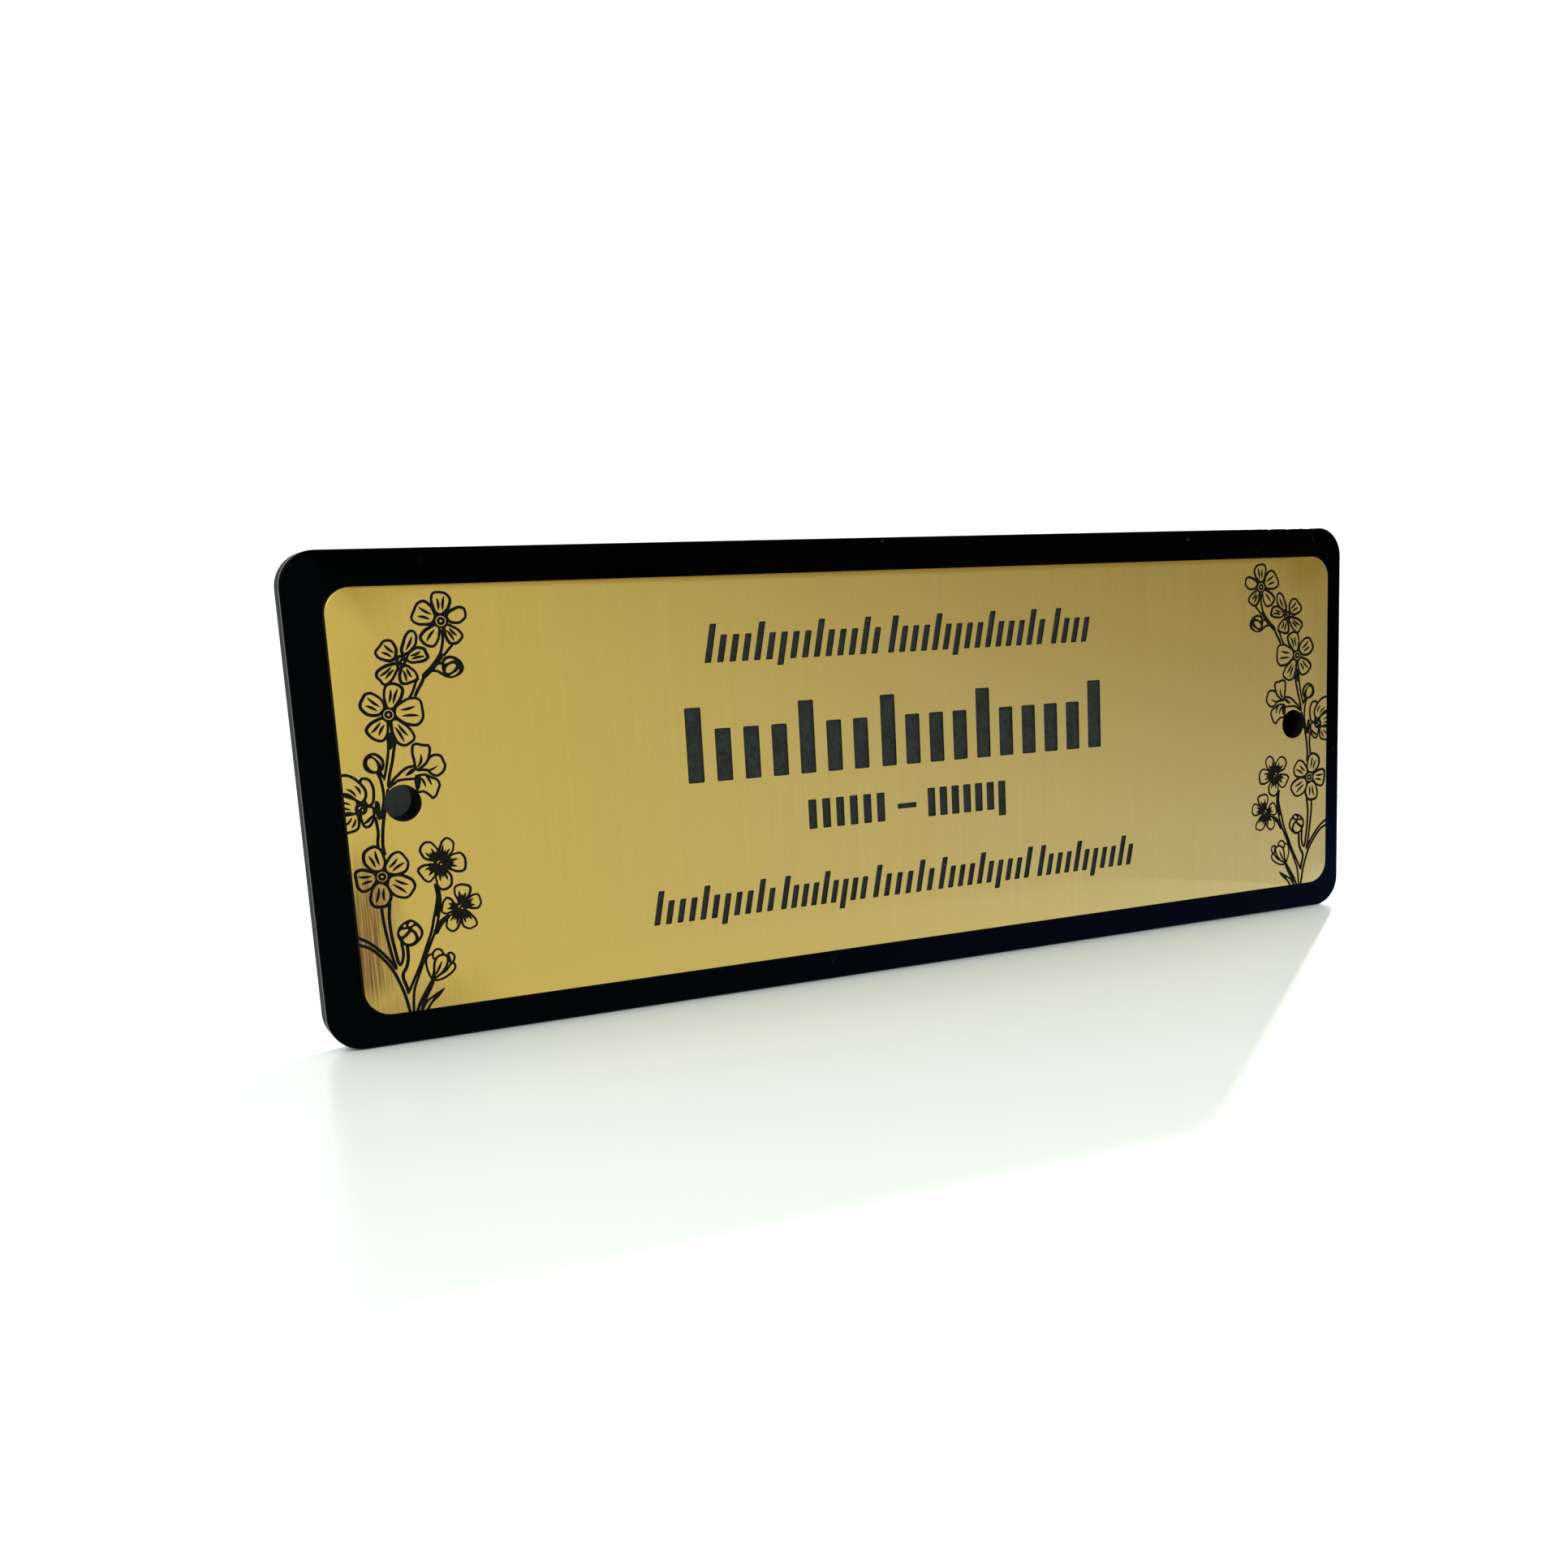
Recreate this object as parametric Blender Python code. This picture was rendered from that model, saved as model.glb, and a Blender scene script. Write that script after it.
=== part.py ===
"""Small engraved memorial plaque for a wall or a bench.

A gloss black board carries a gold-faced engraving plate. Two screw holes run through both,
one near each end. The plate's front is cut with four centred rows of short strokes and with
a sprig of five-petalled flowers at each end, the right one a mirror of the left.

Frame: X to the right, Z up, the front faces -Y. The origin is the centre of the board's back.
"""
import math

import bmesh
import bpy
from mathutils import Matrix, Vector
from mathutils.geometry import delaunay_2d_cdt

MM = 0.001

# Board
BOARD_WIDTH = 200 * MM
BOARD_HEIGHT = 75 * MM
BOARD_THICKNESS = 5 * MM
BOARD_CORNER_RADIUS = 5.5 * MM
BOARD_ARRIS = 0.4 * MM

# Face plate
PLATE_MARGIN = 5.5 * MM
PLATE_THICKNESS = 2.2 * MM
PLATE_CORNER_RADIUS = 4 * MM
PLATE_ARRIS = 0.15 * MM
BOND_GAP = 0.3 * MM

# Screw holes, measured from the board's ends
HOLE_DIAMETER = 5.5 * MM
HOLE_INSET = 14 * MM
DRILL_OVERRUN = 2 * MM

# Engraving
ENGRAVING_DEPTH = 0.3 * MM
CUTTER_OVERRUN = 0.5 * MM
OUTLINE_WIDTH = 0.55 * MM
STEM_WIDTH = 1.1 * MM
LEAF_WIDTH = 1.5 * MM

# The drawn face is a free form: its places are shares of this design height,
# which the plate's height scales.
DESIGN_HEIGHT = 64 * MM

# Rounding of outlines, as segments in a quarter turn, a hole, a petal and a bud
CORNER_SEGMENTS = 8
HOLE_SEGMENTS = 32
PETAL_SEGMENTS = 9
DISC_SEGMENTS = 8
PETAL_COUNT = 5
# Faces of a cutter that meet within this angle, in radians, are one face
FLAT_ANGLE = 0.001

# A bloom's petal, as shares of the bloom's radius
PETAL_REACH = 0.6
PETAL_HALF_LENGTH = 0.43
PETAL_HALF_WIDTH = 0.42
PETAL_TAPER = 0.18
BLOOM_HEART = 0.3

plate_width = BOARD_WIDTH - 2 * PLATE_MARGIN
plate_height = BOARD_HEIGHT - 2 * PLATE_MARGIN
plate_back = -(BOARD_THICKNESS + BOND_GAP)
plate_front = plate_back - PLATE_THICKNESS
hole_offset = BOARD_WIDTH / 2 - HOLE_INSET
design_scale = MM * plate_height / DESIGN_HEIGHT

# Sprig, in millimetres of the design: across from the screw hole's axis towards the plate's
# middle, then up from the middle line. Blooms add their radius and the turn of a petal.
BLOOMS = (
    (8.1, 26.6, 4.1, 95),
    (1.7, 21.2, 3.9, 65),
    (-0.9, 13.2, 4.65, 85),
    (-6.3, -0.3, 4.5, 60),
    (-4.2, -10.7, 4.6, 110),
    (4.4, -9.5, 3.95, 75),
    (7.1, -16.9, 3.5, 88),
)
# Petals of the bloom that is seen from its side: across, up, half length, turn
SIDE_PETALS = (
    (3.4, 7.0, 2.1, 72),
    (5.5, 5.8, 2.2, 15),
    (4.9, 3.3, 2.1, -52),
)
SIDE_PETAL_SLIMNESS = 0.75
# Closed buds: across, up, half length, half width, turn
BUDS = (
    (9.4, 20.0, 1.5, 1.4, 0),
    (-3.9, 6.5, 1.7, 1.3, 55),
    (-0.8, -19.7, 1.9, 1.75, 90),
    (3.3, -25.3, 2.5, 1.9, 60),
)
# Stems, each a smooth curve through its points
STEMS = (
    ((-1.9, -33.0), (-2.2, -27.0), (-3.2, -20.0), (-3.9, -15.0)),
    ((-4.0, -6.5), (-3.0, -1.4), (-2.1, 3.2), (-1.1, 9.0)),
    ((2.4, 15.6), (4.3, 18.2), (7.2, 21.2), (8.2, 23.6)),
    ((-2.4, -26.4), (-4.6, -22.8), (-9.4, -19.6)),
    ((-1.6, -29.6), (0.8, -23.1), (3.4, -17.5), (4.1, -13.0)),
    ((3.0, -19.0), (5.4, -17.6)),
    ((-2.3, -25.2), (-1.2, -21.6)),
    ((-0.6, -33.0), (1.0, -29.4), (2.4, -27.2)),
    ((-2.0, 2.2), (0.2, 4.6), (2.4, 5.4)),
    ((6.0, 19.2), (8.4, 19.6)),
)
LEAF = ((-0.2, -32.6), (3.4, -29.2))
STEM_STEPS = 2
# Outline points of the design that are closer than this are one point
SNAP_DISTANCE = 0.02


def clear_scene():
    """Remove whatever the file opened with."""
    for thing in list(bpy.data.objects):
        bpy.data.objects.remove(thing, do_unlink=True)


def make_material(name, colour, metallic, roughness):
    """A Principled material with one plain colour."""
    material = bpy.data.materials.new(name)
    material.use_nodes = True
    shader = material.node_tree.nodes["Principled BSDF"]
    shader.inputs["Base Color"].default_value = (*colour, 1.0)
    shader.inputs["Metallic"].default_value = metallic
    shader.inputs["Roughness"].default_value = roughness
    return material


def link_mesh(name, shape, material=None):
    """Turn a bmesh into a linked object of this name."""
    mesh = bpy.data.meshes.new(name)
    shape.to_mesh(mesh)
    shape.free()
    thing = bpy.data.objects.new(name, mesh)
    if material:
        mesh.materials.append(material)
    bpy.context.scene.collection.objects.link(thing)
    return thing


def rounded_rectangle(width, height, radius):
    """Outline points of a rectangle with round corners, anticlockwise as seen from the front."""
    points = []
    for quarter in range(4):
        middle = math.radians(90 * quarter + 45)
        centre_x = math.copysign(width / 2 - radius, math.cos(middle))
        centre_z = math.copysign(height / 2 - radius, math.sin(middle))
        for step in range(CORNER_SEGMENTS + 1):
            angle = math.radians(90 * (quarter + step / CORNER_SEGMENTS))
            points.append((centre_x + radius * math.cos(angle), centre_z + radius * math.sin(angle)))
    return points


def slab(name, outline, back, thickness, arris, material):
    """A flat board from its outline, with a small bevel round the front edge."""
    shape = bmesh.new()
    corners = [shape.verts.new((x, back, z)) for x, z in outline]
    sheet = shape.faces.new(corners)
    moved = bmesh.ops.extrude_face_region(shape, geom=[sheet])["geom"]
    front_corners = [item for item in moved if isinstance(item, bmesh.types.BMVert)]
    bmesh.ops.translate(shape, verts=front_corners, vec=(0, -thickness, 0))
    front_edges = [item for item in moved if isinstance(item, bmesh.types.BMEdge)]
    bmesh.ops.bevel(shape, geom=front_edges, offset=arris, segments=1, affect="EDGES")
    bmesh.ops.recalc_face_normals(shape, faces=shape.faces)
    thing = link_mesh(name, shape, material)
    thing.data.shade_smooth()
    thing.data.set_sharp_from_angle(angle=math.radians(30))
    return thing


def cut_away(target, cutter):
    """Subtract a cutter, which stays in the scene as a wire guide.

    The exact solver leaves slivers open where the engraving's fine lines meet the holes and
    the arris at some board sizes, so the cuts use the solver for closed meshes.
    """
    cutter.hide_render = True
    cutter.display_type = "WIRE"
    step = target.modifiers.new("cut " + cutter.name, "BOOLEAN")
    step.operation = "DIFFERENCE"
    step.solver = "MANIFOLD"
    step.object = cutter


def drill(name, x):
    """A round cutter through both pieces, on the screw's axis."""
    shape = bmesh.new()
    length = BOARD_THICKNESS + BOND_GAP + PLATE_THICKNESS + 2 * DRILL_OVERRUN
    along_y = Matrix.Translation((x, plate_front / 2, 0)) @ Matrix.Rotation(math.pi / 2, 4, "X")
    bmesh.ops.create_cone(
        shape, cap_ends=True, segments=HOLE_SEGMENTS, matrix=along_y,
        radius1=HOLE_DIAMETER / 2, radius2=HOLE_DIAMETER / 2, depth=length)
    return link_mesh(name, shape)


def oval(x, z, half_length, half_width, turn, segments, taper=0.0):
    """Anticlockwise oval about (x, z), turned in degrees; taper narrows its near end."""
    lead = Vector((math.cos(math.radians(turn)), math.sin(math.radians(turn))))
    side = Vector((-lead.y, lead.x))
    points = []
    for step in range(segments):
        angle = 2 * math.pi * step / segments
        along = half_length * math.cos(angle)
        across = half_width * math.sin(angle) * (1 + taper * math.cos(angle))
        points.append(Vector((x, z)) + along * lead + across * side)
    return points


def smooth_route(points):
    """Points along a Catmull-Rom curve through the given ones."""
    knots = [Vector(p) for p in points]
    padded = [2 * knots[0] - knots[1], *knots, 2 * knots[-1] - knots[-2]]
    route = []
    for before, start, end, after in zip(padded, padded[1:], padded[2:], padded[3:]):
        for step in range(STEM_STEPS):
            t = step / STEM_STEPS
            route.append(0.5 * (2 * start + (end - before) * t
                                + (2 * before - 5 * start + 4 * end - after) * t * t
                                + (3 * start - before - 3 * end + after) * t ** 3))
    route.append(knots[-1])
    return route


def ribbon(route, width):
    """A closed band of one width along a route."""
    left, right = [], []
    for index, point in enumerate(route):
        before = route[max(index - 1, 0)]
        after = route[min(index + 1, len(route) - 1)]
        heading = (after - before).normalized()
        offset = Vector((-heading.y, heading.x)) * width / 2
        left.append(point + offset)
        right.append(point - offset)
    return right + left[::-1]


def bloom_layers(across, up, radius, turn):
    """Layers of an open flower: five outlined petals, then its round heart."""
    line = OUTLINE_WIDTH / MM
    layers = []
    for petal in range(PETAL_COUNT):
        heading = turn - 360 * petal / PETAL_COUNT
        centre_x = across + PETAL_REACH * radius * math.cos(math.radians(heading))
        centre_z = up + PETAL_REACH * radius * math.sin(math.radians(heading))
        length = PETAL_HALF_LENGTH * radius
        width = PETAL_HALF_WIDTH * radius
        layers.append((oval(centre_x, centre_z, length, width, heading,
                            PETAL_SEGMENTS, PETAL_TAPER), True))
        layers.append((oval(centre_x, centre_z, length - line, width - line, heading,
                            PETAL_SEGMENTS, PETAL_TAPER), False))
    layers.append((oval(across, up, BLOOM_HEART * radius, BLOOM_HEART * radius, turn,
                        DISC_SEGMENTS), True))
    return layers


def bud_layers(across, up, half_length, half_width, turn):
    """Layers of a closed bud: an outlined oval."""
    line = OUTLINE_WIDTH / MM
    return [
        (oval(across, up, half_length, half_width, turn, DISC_SEGMENTS), True),
        (oval(across, up, half_length - line, half_width - line, turn, DISC_SEGMENTS), False),
    ]


def sprig_layers(side):
    """All layers of one sprig in plate coordinates; side is -1 for the left, 1 for the right."""
    layers = [(ribbon(smooth_route(stem), STEM_WIDTH / MM), True) for stem in STEMS]
    base, tip = (Vector(p) for p in LEAF)
    middle = (base + tip) / 2
    turn = math.degrees(math.atan2(tip.y - base.y, tip.x - base.x))
    layers.append((oval(*middle, (tip - base).length / 2, LEAF_WIDTH / MM / 2, turn,
                        PETAL_SEGMENTS), True))
    for across, up, half_length, turn in SIDE_PETALS:
        layers += bud_layers(across, up, half_length, half_length * SIDE_PETAL_SLIMNESS, turn)
    for bud in BUDS:
        layers += bud_layers(*bud)
    for bloom in BLOOMS:
        layers += bloom_layers(*bloom)
    placed = []
    for points, is_cut in layers:
        moved = [(side * (hole_offset - p.x * design_scale), p.y * design_scale) for p in points]
        placed.append((turn_anticlockwise(moved), is_cut))
    return placed


def turn_anticlockwise(points):
    """The same outline, reversed if it runs clockwise."""
    area = sum(a[0] * b[1] - b[0] * a[1] for a, b in zip(points, points[1:] + points[:1]))
    return points if area > 0 else points[::-1]


class StrokeRow:
    """One row of short strokes in the inscription's place, in millimetres of the design."""

    def __init__(self, baseline, low, tall, deep, stroke, pitch, lean, groups):
        self.baseline = baseline
        self.heights = {"low": (0, low), "tall": (0, tall), "deep": (-deep, low)}
        self.stroke = stroke
        self.pitch = pitch
        self.lean = math.tan(math.radians(lean))
        self.groups = groups

    def strokes(self):
        """Leaning bars, evenly spaced in each group, their heights taken from the rhythm."""
        bars = []
        for start, end in self.groups:
            room = end - start - self.stroke
            count = max(1, round(room / self.pitch))
            for index in range(count + 1):
                height = STROKE_RHYTHM[index % len(STROKE_RHYTHM)]
                bars.append(self.bar(start + room * index / count, *self.heights[height]))
        return bars

    def bar(self, x, foot, head):
        """One bar as a parallelogram between two heights over the baseline."""
        corners = ((x, foot), (x + self.stroke, foot), (x + self.stroke, head), (x, head))
        middle = self.heights["low"][1] / 2
        return [((cx + self.lean * (cz - middle)) * design_scale,
                 (cz + self.baseline) * design_scale) for cx, cz in corners]


STROKE_RHYTHM = ("tall", "low", "low", "low", "tall", "low", "deep", "low", "low")
INSCRIPTION = (
    StrokeRow(18.2, 4.4, 6.2, 1.0, 1.15, 2.15, 12, ((-35.9, -4.5), (-2.5, 28.5), (30.4, 38.0))),
    StrokeRow(-1.0, 8.6, 12.2, 0, 2.8, 4.75, 0, ((-40.4, -7.4), (-4.9, 40.4))),
    StrokeRow(-10.5, 5.0, 5.0, 1.2, 1.5, 2.6, 0, ((-19.3, -4.8), (3.7, 19.6))),
    StrokeRow(-8.6, 0.9, 0.9, 0, 3.7, 3.7, 0, ((-2.3, 1.4),)),
    StrokeRow(-23.6, 3.9, 5.6, 1.2, 1.05, 1.95, 12,
              ((-47.6, -26.5), (-25.0, -9.0), (-7.5, 4.2), (5.5, 24.4), (26.2, 47.0))),
)


def engraving_cutter(name, layers):
    """One closed cutter from overlapping layers: the topmost layer says cut or leave."""
    points, faces = [], []
    for outline, _ in layers:
        faces.append(list(range(len(points), len(points) + len(outline))))
        points += [Vector((x / MM, z / MM)) for x, z in outline]
    result = delaunay_2d_cdt(points, [], faces, 1, SNAP_DISTANCE)
    flat_points, triangles, owners = result[0], result[2], result[5]
    shape = bmesh.new()
    near = plate_front - CUTTER_OVERRUN
    corners = [shape.verts.new((p.x * MM, near, p.y * MM)) for p in flat_points]
    for triangle, owner in zip(triangles, owners):
        if owner and layers[max(owner)][1]:
            shape.faces.new([corners[i] for i in triangle])
    loose = [vertex for vertex in shape.verts if not vertex.link_faces]
    bmesh.ops.delete(shape, geom=loose, context="VERTS")
    moved = bmesh.ops.extrude_face_region(shape, geom=shape.faces[:])["geom"]
    floor = [item for item in moved if isinstance(item, bmesh.types.BMVert)]
    bmesh.ops.translate(shape, verts=floor, vec=(0, CUTTER_OVERRUN + ENGRAVING_DEPTH, 0))
    bmesh.ops.recalc_face_normals(shape, faces=shape.faces)
    bmesh.ops.dissolve_limit(shape, angle_limit=FLAT_ANGLE, verts=shape.verts, edges=shape.edges)
    return link_mesh(name, shape)


def build():
    """Make the board and the plate, engrave the plate and drill both."""
    clear_scene()
    black = make_material("gloss_black_board", (0.004, 0.005, 0.008), 0.0, 0.12)
    gold = make_material("brushed_gold_plate", (0.56, 0.42, 0.13), 0.85, 0.34)

    board = slab("back_board", rounded_rectangle(BOARD_WIDTH, BOARD_HEIGHT, BOARD_CORNER_RADIUS),
                 0.0, BOARD_THICKNESS, BOARD_ARRIS, black)
    plate = slab("face_plate", rounded_rectangle(plate_width, plate_height, PLATE_CORNER_RADIUS),
                 plate_back, PLATE_THICKNESS, PLATE_ARRIS, gold)

    layers = [(bar, True) for row in INSCRIPTION for bar in row.strokes()]
    layers += sprig_layers(-1) + sprig_layers(1)
    cut_away(plate, engraving_cutter("engraving", layers))
    for side, word in ((-1, "left"), (1, "right")):
        hole = drill("screw_hole_" + word, side * hole_offset)
        cut_away(plate, hole)
        cut_away(board, hole)


build()
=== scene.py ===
"""Looks of a small engraved memorial plaque: a gold-faced plate on a gloss black board.

The board and the plate are sheets with rounded corners and softened arrises. The plate's gold
film is cut through to its black core by a sprig of flowers at each end and by four rows of
short strokes. Lengths are in millimetres until a mesh is made, which is in metres.
"""
import logging
import math
from dataclasses import dataclass, field
from enum import Enum, IntEnum

import bpy
import numpy as np
from mathutils import Matrix, Vector
from mathutils.geometry import delaunay_2d_cdt


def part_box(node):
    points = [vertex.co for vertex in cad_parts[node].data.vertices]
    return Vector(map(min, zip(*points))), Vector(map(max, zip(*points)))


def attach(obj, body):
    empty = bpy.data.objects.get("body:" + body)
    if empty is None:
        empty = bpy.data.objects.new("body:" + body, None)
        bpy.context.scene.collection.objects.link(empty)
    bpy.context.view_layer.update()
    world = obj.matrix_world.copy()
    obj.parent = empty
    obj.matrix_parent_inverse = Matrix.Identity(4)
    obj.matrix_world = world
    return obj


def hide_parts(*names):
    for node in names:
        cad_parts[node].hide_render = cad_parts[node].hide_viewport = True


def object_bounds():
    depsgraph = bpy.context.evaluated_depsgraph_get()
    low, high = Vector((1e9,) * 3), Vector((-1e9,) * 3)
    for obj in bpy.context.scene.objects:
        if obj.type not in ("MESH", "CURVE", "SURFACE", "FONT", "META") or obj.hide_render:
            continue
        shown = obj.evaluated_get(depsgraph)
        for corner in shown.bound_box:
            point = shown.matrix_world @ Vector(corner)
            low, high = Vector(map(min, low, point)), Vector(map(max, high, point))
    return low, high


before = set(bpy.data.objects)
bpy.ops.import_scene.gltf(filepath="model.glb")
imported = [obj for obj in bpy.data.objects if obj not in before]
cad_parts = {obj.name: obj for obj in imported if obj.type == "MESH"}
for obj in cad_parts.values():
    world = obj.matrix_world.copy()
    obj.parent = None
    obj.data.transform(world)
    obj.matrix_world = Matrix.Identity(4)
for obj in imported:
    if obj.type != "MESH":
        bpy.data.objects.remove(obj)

CAD_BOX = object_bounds()
MM = 0.001
HOLE_X = 86.0
HOLE_RADIUS = 2.75
HOLES = tuple((side * HOLE_X, 0.0, HOLE_RADIUS) for side in (-1, 1))
MERGE_DISTANCE = 1e-4
TOUCHING = 0.01
SHARP_DEGREES = 32
WHITE = (1.0, 1.0, 1.0)
LOG = logging.getLogger("plaque")

Point = tuple[float, float]
Triple = tuple[float, float, float]
Socket = bpy.types.NodeSocket


class Region(IntEnum):
    """What a point of a sheet's front belongs to."""

    VOID = 0
    CUT = 1
    LAND = 2
    FINE = 3


class Heart(Enum):
    """How the middle of an open flower is drawn."""

    RINGED = "ringed"
    DARK = "dark"
    RADIATING = "radiating"


class Slot(IntEnum):
    """Material slots of a sheet: its face, what is under the face, and a third finish."""

    FACE = 0
    CORE = 1
    THIRD = 2


@dataclass(frozen=True)
class Layer:
    """One closed outline painted on a sheet's front; the last one painted wins."""

    outline: np.ndarray
    region: Region


# Curves in the plane of the face

def heading_vectors(heading: float) -> tuple[np.ndarray, np.ndarray]:
    """Unit vectors along a heading in degrees and to its left.

    Args:
        heading: angle from the first axis, anticlockwise.

    Returns:
        The vector along the heading and the one to its left.
    """
    turn = math.radians(heading)
    along = np.array([math.cos(turn), math.sin(turn)])
    return along, np.array([-along[1], along[0]])


def anticlockwise(outline: np.ndarray) -> np.ndarray:
    """The outline in anticlockwise order, by the sign of its shoelace area.

    Args:
        outline: closed outline, one point a row.

    Returns:
        The same points, reversed if they ran clockwise.
    """
    after = np.roll(outline, -1, axis=0)
    area = np.sum(outline[:, 0] * after[:, 1] - after[:, 0] * outline[:, 1])
    return outline if area > 0 else outline[::-1]


def inset(outline: np.ndarray, width: float | np.ndarray) -> np.ndarray:
    """An anticlockwise outline moved inwards, each point square to its neighbours' chord.

    Args:
        outline: closed anticlockwise outline.
        width: distance to move, one for all points or one for each.

    Returns:
        The inner outline.
    """
    chord = np.roll(outline, -1, axis=0) - np.roll(outline, 1, axis=0)
    chord /= np.linalg.norm(chord, axis=1, keepdims=True)
    normal = np.stack([-chord[:, 1], chord[:, 0]], axis=1)
    return outline + np.broadcast_to(width, len(outline))[:, None] * normal


def wound_round(outline: np.ndarray, points: np.ndarray) -> np.ndarray:
    """Which points an outline winds round anticlockwise.

    On the level of a point, an edge that rises to its right counts one and an edge that falls
    there counts less one. The small inverted loops of an inset outline come out as outside.

    Args:
        outline: closed outline, mostly anticlockwise.
        points: points to test.

    Returns:
        True for each point with a sum above nought.
    """
    start, end = outline, np.roll(outline, -1, axis=0)
    x, z = points[:, :1], points[:, 1:]
    run, rise = (end - start).T
    left = run * (z - start[:, 1]) - (x - start[:, 0]) * rise
    rises = (start[:, 1] <= z) & (end[:, 1] > z) & (left > 0)
    falls = (start[:, 1] > z) & (end[:, 1] <= z) & (left < 0)
    return rises.sum(axis=1) > falls.sum(axis=1)


def circle(centre: Point, radius: float, steps: int = 24) -> np.ndarray:
    """An anticlockwise round outline: the centre plus radius times (cosine, sine)."""
    angle = np.linspace(0, 2 * math.pi, steps, endpoint=False)
    return np.array(centre) + radius * np.stack([np.cos(angle), np.sin(angle)], axis=1)


def rounded_box(low: Point, high: Point, radius: float, steps: int) -> np.ndarray:
    """A rectangle with a quarter circle at each corner.

    Args:
        low: lower left corner.
        high: upper right corner.
        radius: radius of the corners.
        steps: points in each corner.

    Returns:
        Anticlockwise outline.
    """
    angle = np.linspace(0, math.pi / 2, steps)[None, :] + (math.pi / 2) * np.arange(4)[:, None]
    (left, bottom), (right, top) = np.array(low) + radius, np.array(high) - radius
    x = np.array([right, left, left, right])[:, None] + radius * np.cos(angle)
    z = np.array([top, top, bottom, bottom])[:, None] + radius * np.sin(angle)
    return np.stack([x.ravel(), z.ravel()], axis=1)


def lens(start: Point, end: Point, width: float, bow: float = 0.0, steps: int = 8,
         power: float = 0.7) -> np.ndarray:
    """A slender leaf: a spine bowed as a parabola, with half the width times a power of a sine.

    Args:
        start: one tip.
        end: the other tip.
        width: greatest width.
        bow: sideways rise of the spine at its middle.
        steps: points along each side.
        power: power of the sine; under one it makes the leaf fuller.

    Returns:
        Anticlockwise outline.
    """
    start, end = np.array(start), np.array(end)
    along = end - start
    side = np.array([-along[1], along[0]]) / np.linalg.norm(along)
    share = np.linspace(0, 1, steps)[:, None]
    spine = start + share * along + 4 * bow * share * (1 - share) * side
    half = 0.5 * width * np.clip(np.sin(math.pi * share), 0, 1) ** power * side
    return anticlockwise(np.concatenate([spine - half, (spine + half)[-2:0:-1]]))


def smooth_route(points: np.ndarray, steps: int = 6) -> np.ndarray:
    """A Catmull-Rom curve: cubics whose slope at a knot is half its neighbours' chord.

    Args:
        points: knots, one a row or all in one row.
        steps: points for each span.

    Returns:
        Points of the curve, from the first knot to the last.
    """
    knots = np.array(points, float).reshape(-1, 2)
    padded = np.concatenate([[2 * knots[0] - knots[1]], knots, [2 * knots[-1] - knots[-2]]])
    spans = len(knots) - 1
    before, start, end, after = (padded[first:first + spans, None] for first in range(4))
    t = np.linspace(0, 1, steps, endpoint=False)[None, :, None]
    curve = 0.5 * (2 * start + (end - before) * t
                   + (2 * before - 5 * start + 4 * end - after) * t ** 2
                   + (3 * start - before - 3 * end + after) * t ** 3)
    return np.concatenate([curve.reshape(-1, 2), knots[-1:]])


def smooth_loop(points: np.ndarray, steps: int = 5) -> np.ndarray:
    """A closed anticlockwise Catmull-Rom curve: the open one with its knots wrapped round.

    Args:
        points: knots, one a row or all in one row.
        steps: points for each span.

    Returns:
        Anticlockwise outline.
    """
    knots = np.array(points, float).reshape(-1, 2)
    wrapped = smooth_route(np.concatenate([knots[-1:], knots, knots[:2]]), steps)
    return anticlockwise(wrapped[steps:-steps - 1])


def ribbon(points: np.ndarray, width: float, tip: float = 0.6,
           blunt: float = 0.04) -> np.ndarray:
    """A band along a smooth route, whose half width falls as a quarter circle at both ends.

    Args:
        points: knots of the route.
        width: full width of the band.
        tip: length of the rounded ends, as a share of the width.
        blunt: share of a rounded end that is left off its very tip.

    Returns:
        Anticlockwise outline.
    """
    route = smooth_route(points)
    step = np.linalg.norm(np.diff(route, axis=0), axis=1)
    travelled = np.concatenate([[0], np.cumsum(step)])
    nearest_end = np.minimum(travelled, travelled[-1] - travelled)
    share = np.clip(nearest_end / (tip * width), blunt, 1)
    half = 0.5 * width * np.sqrt(1 - (1 - share) ** 2)
    slope = np.gradient(route, axis=0)
    slope /= np.linalg.norm(slope, axis=1, keepdims=True)
    offset = half[:, None] * np.stack([-slope[:, 1], slope[:, 0]], axis=1)
    return anticlockwise(np.concatenate([route - offset, (route + offset)[::-1]]))


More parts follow.
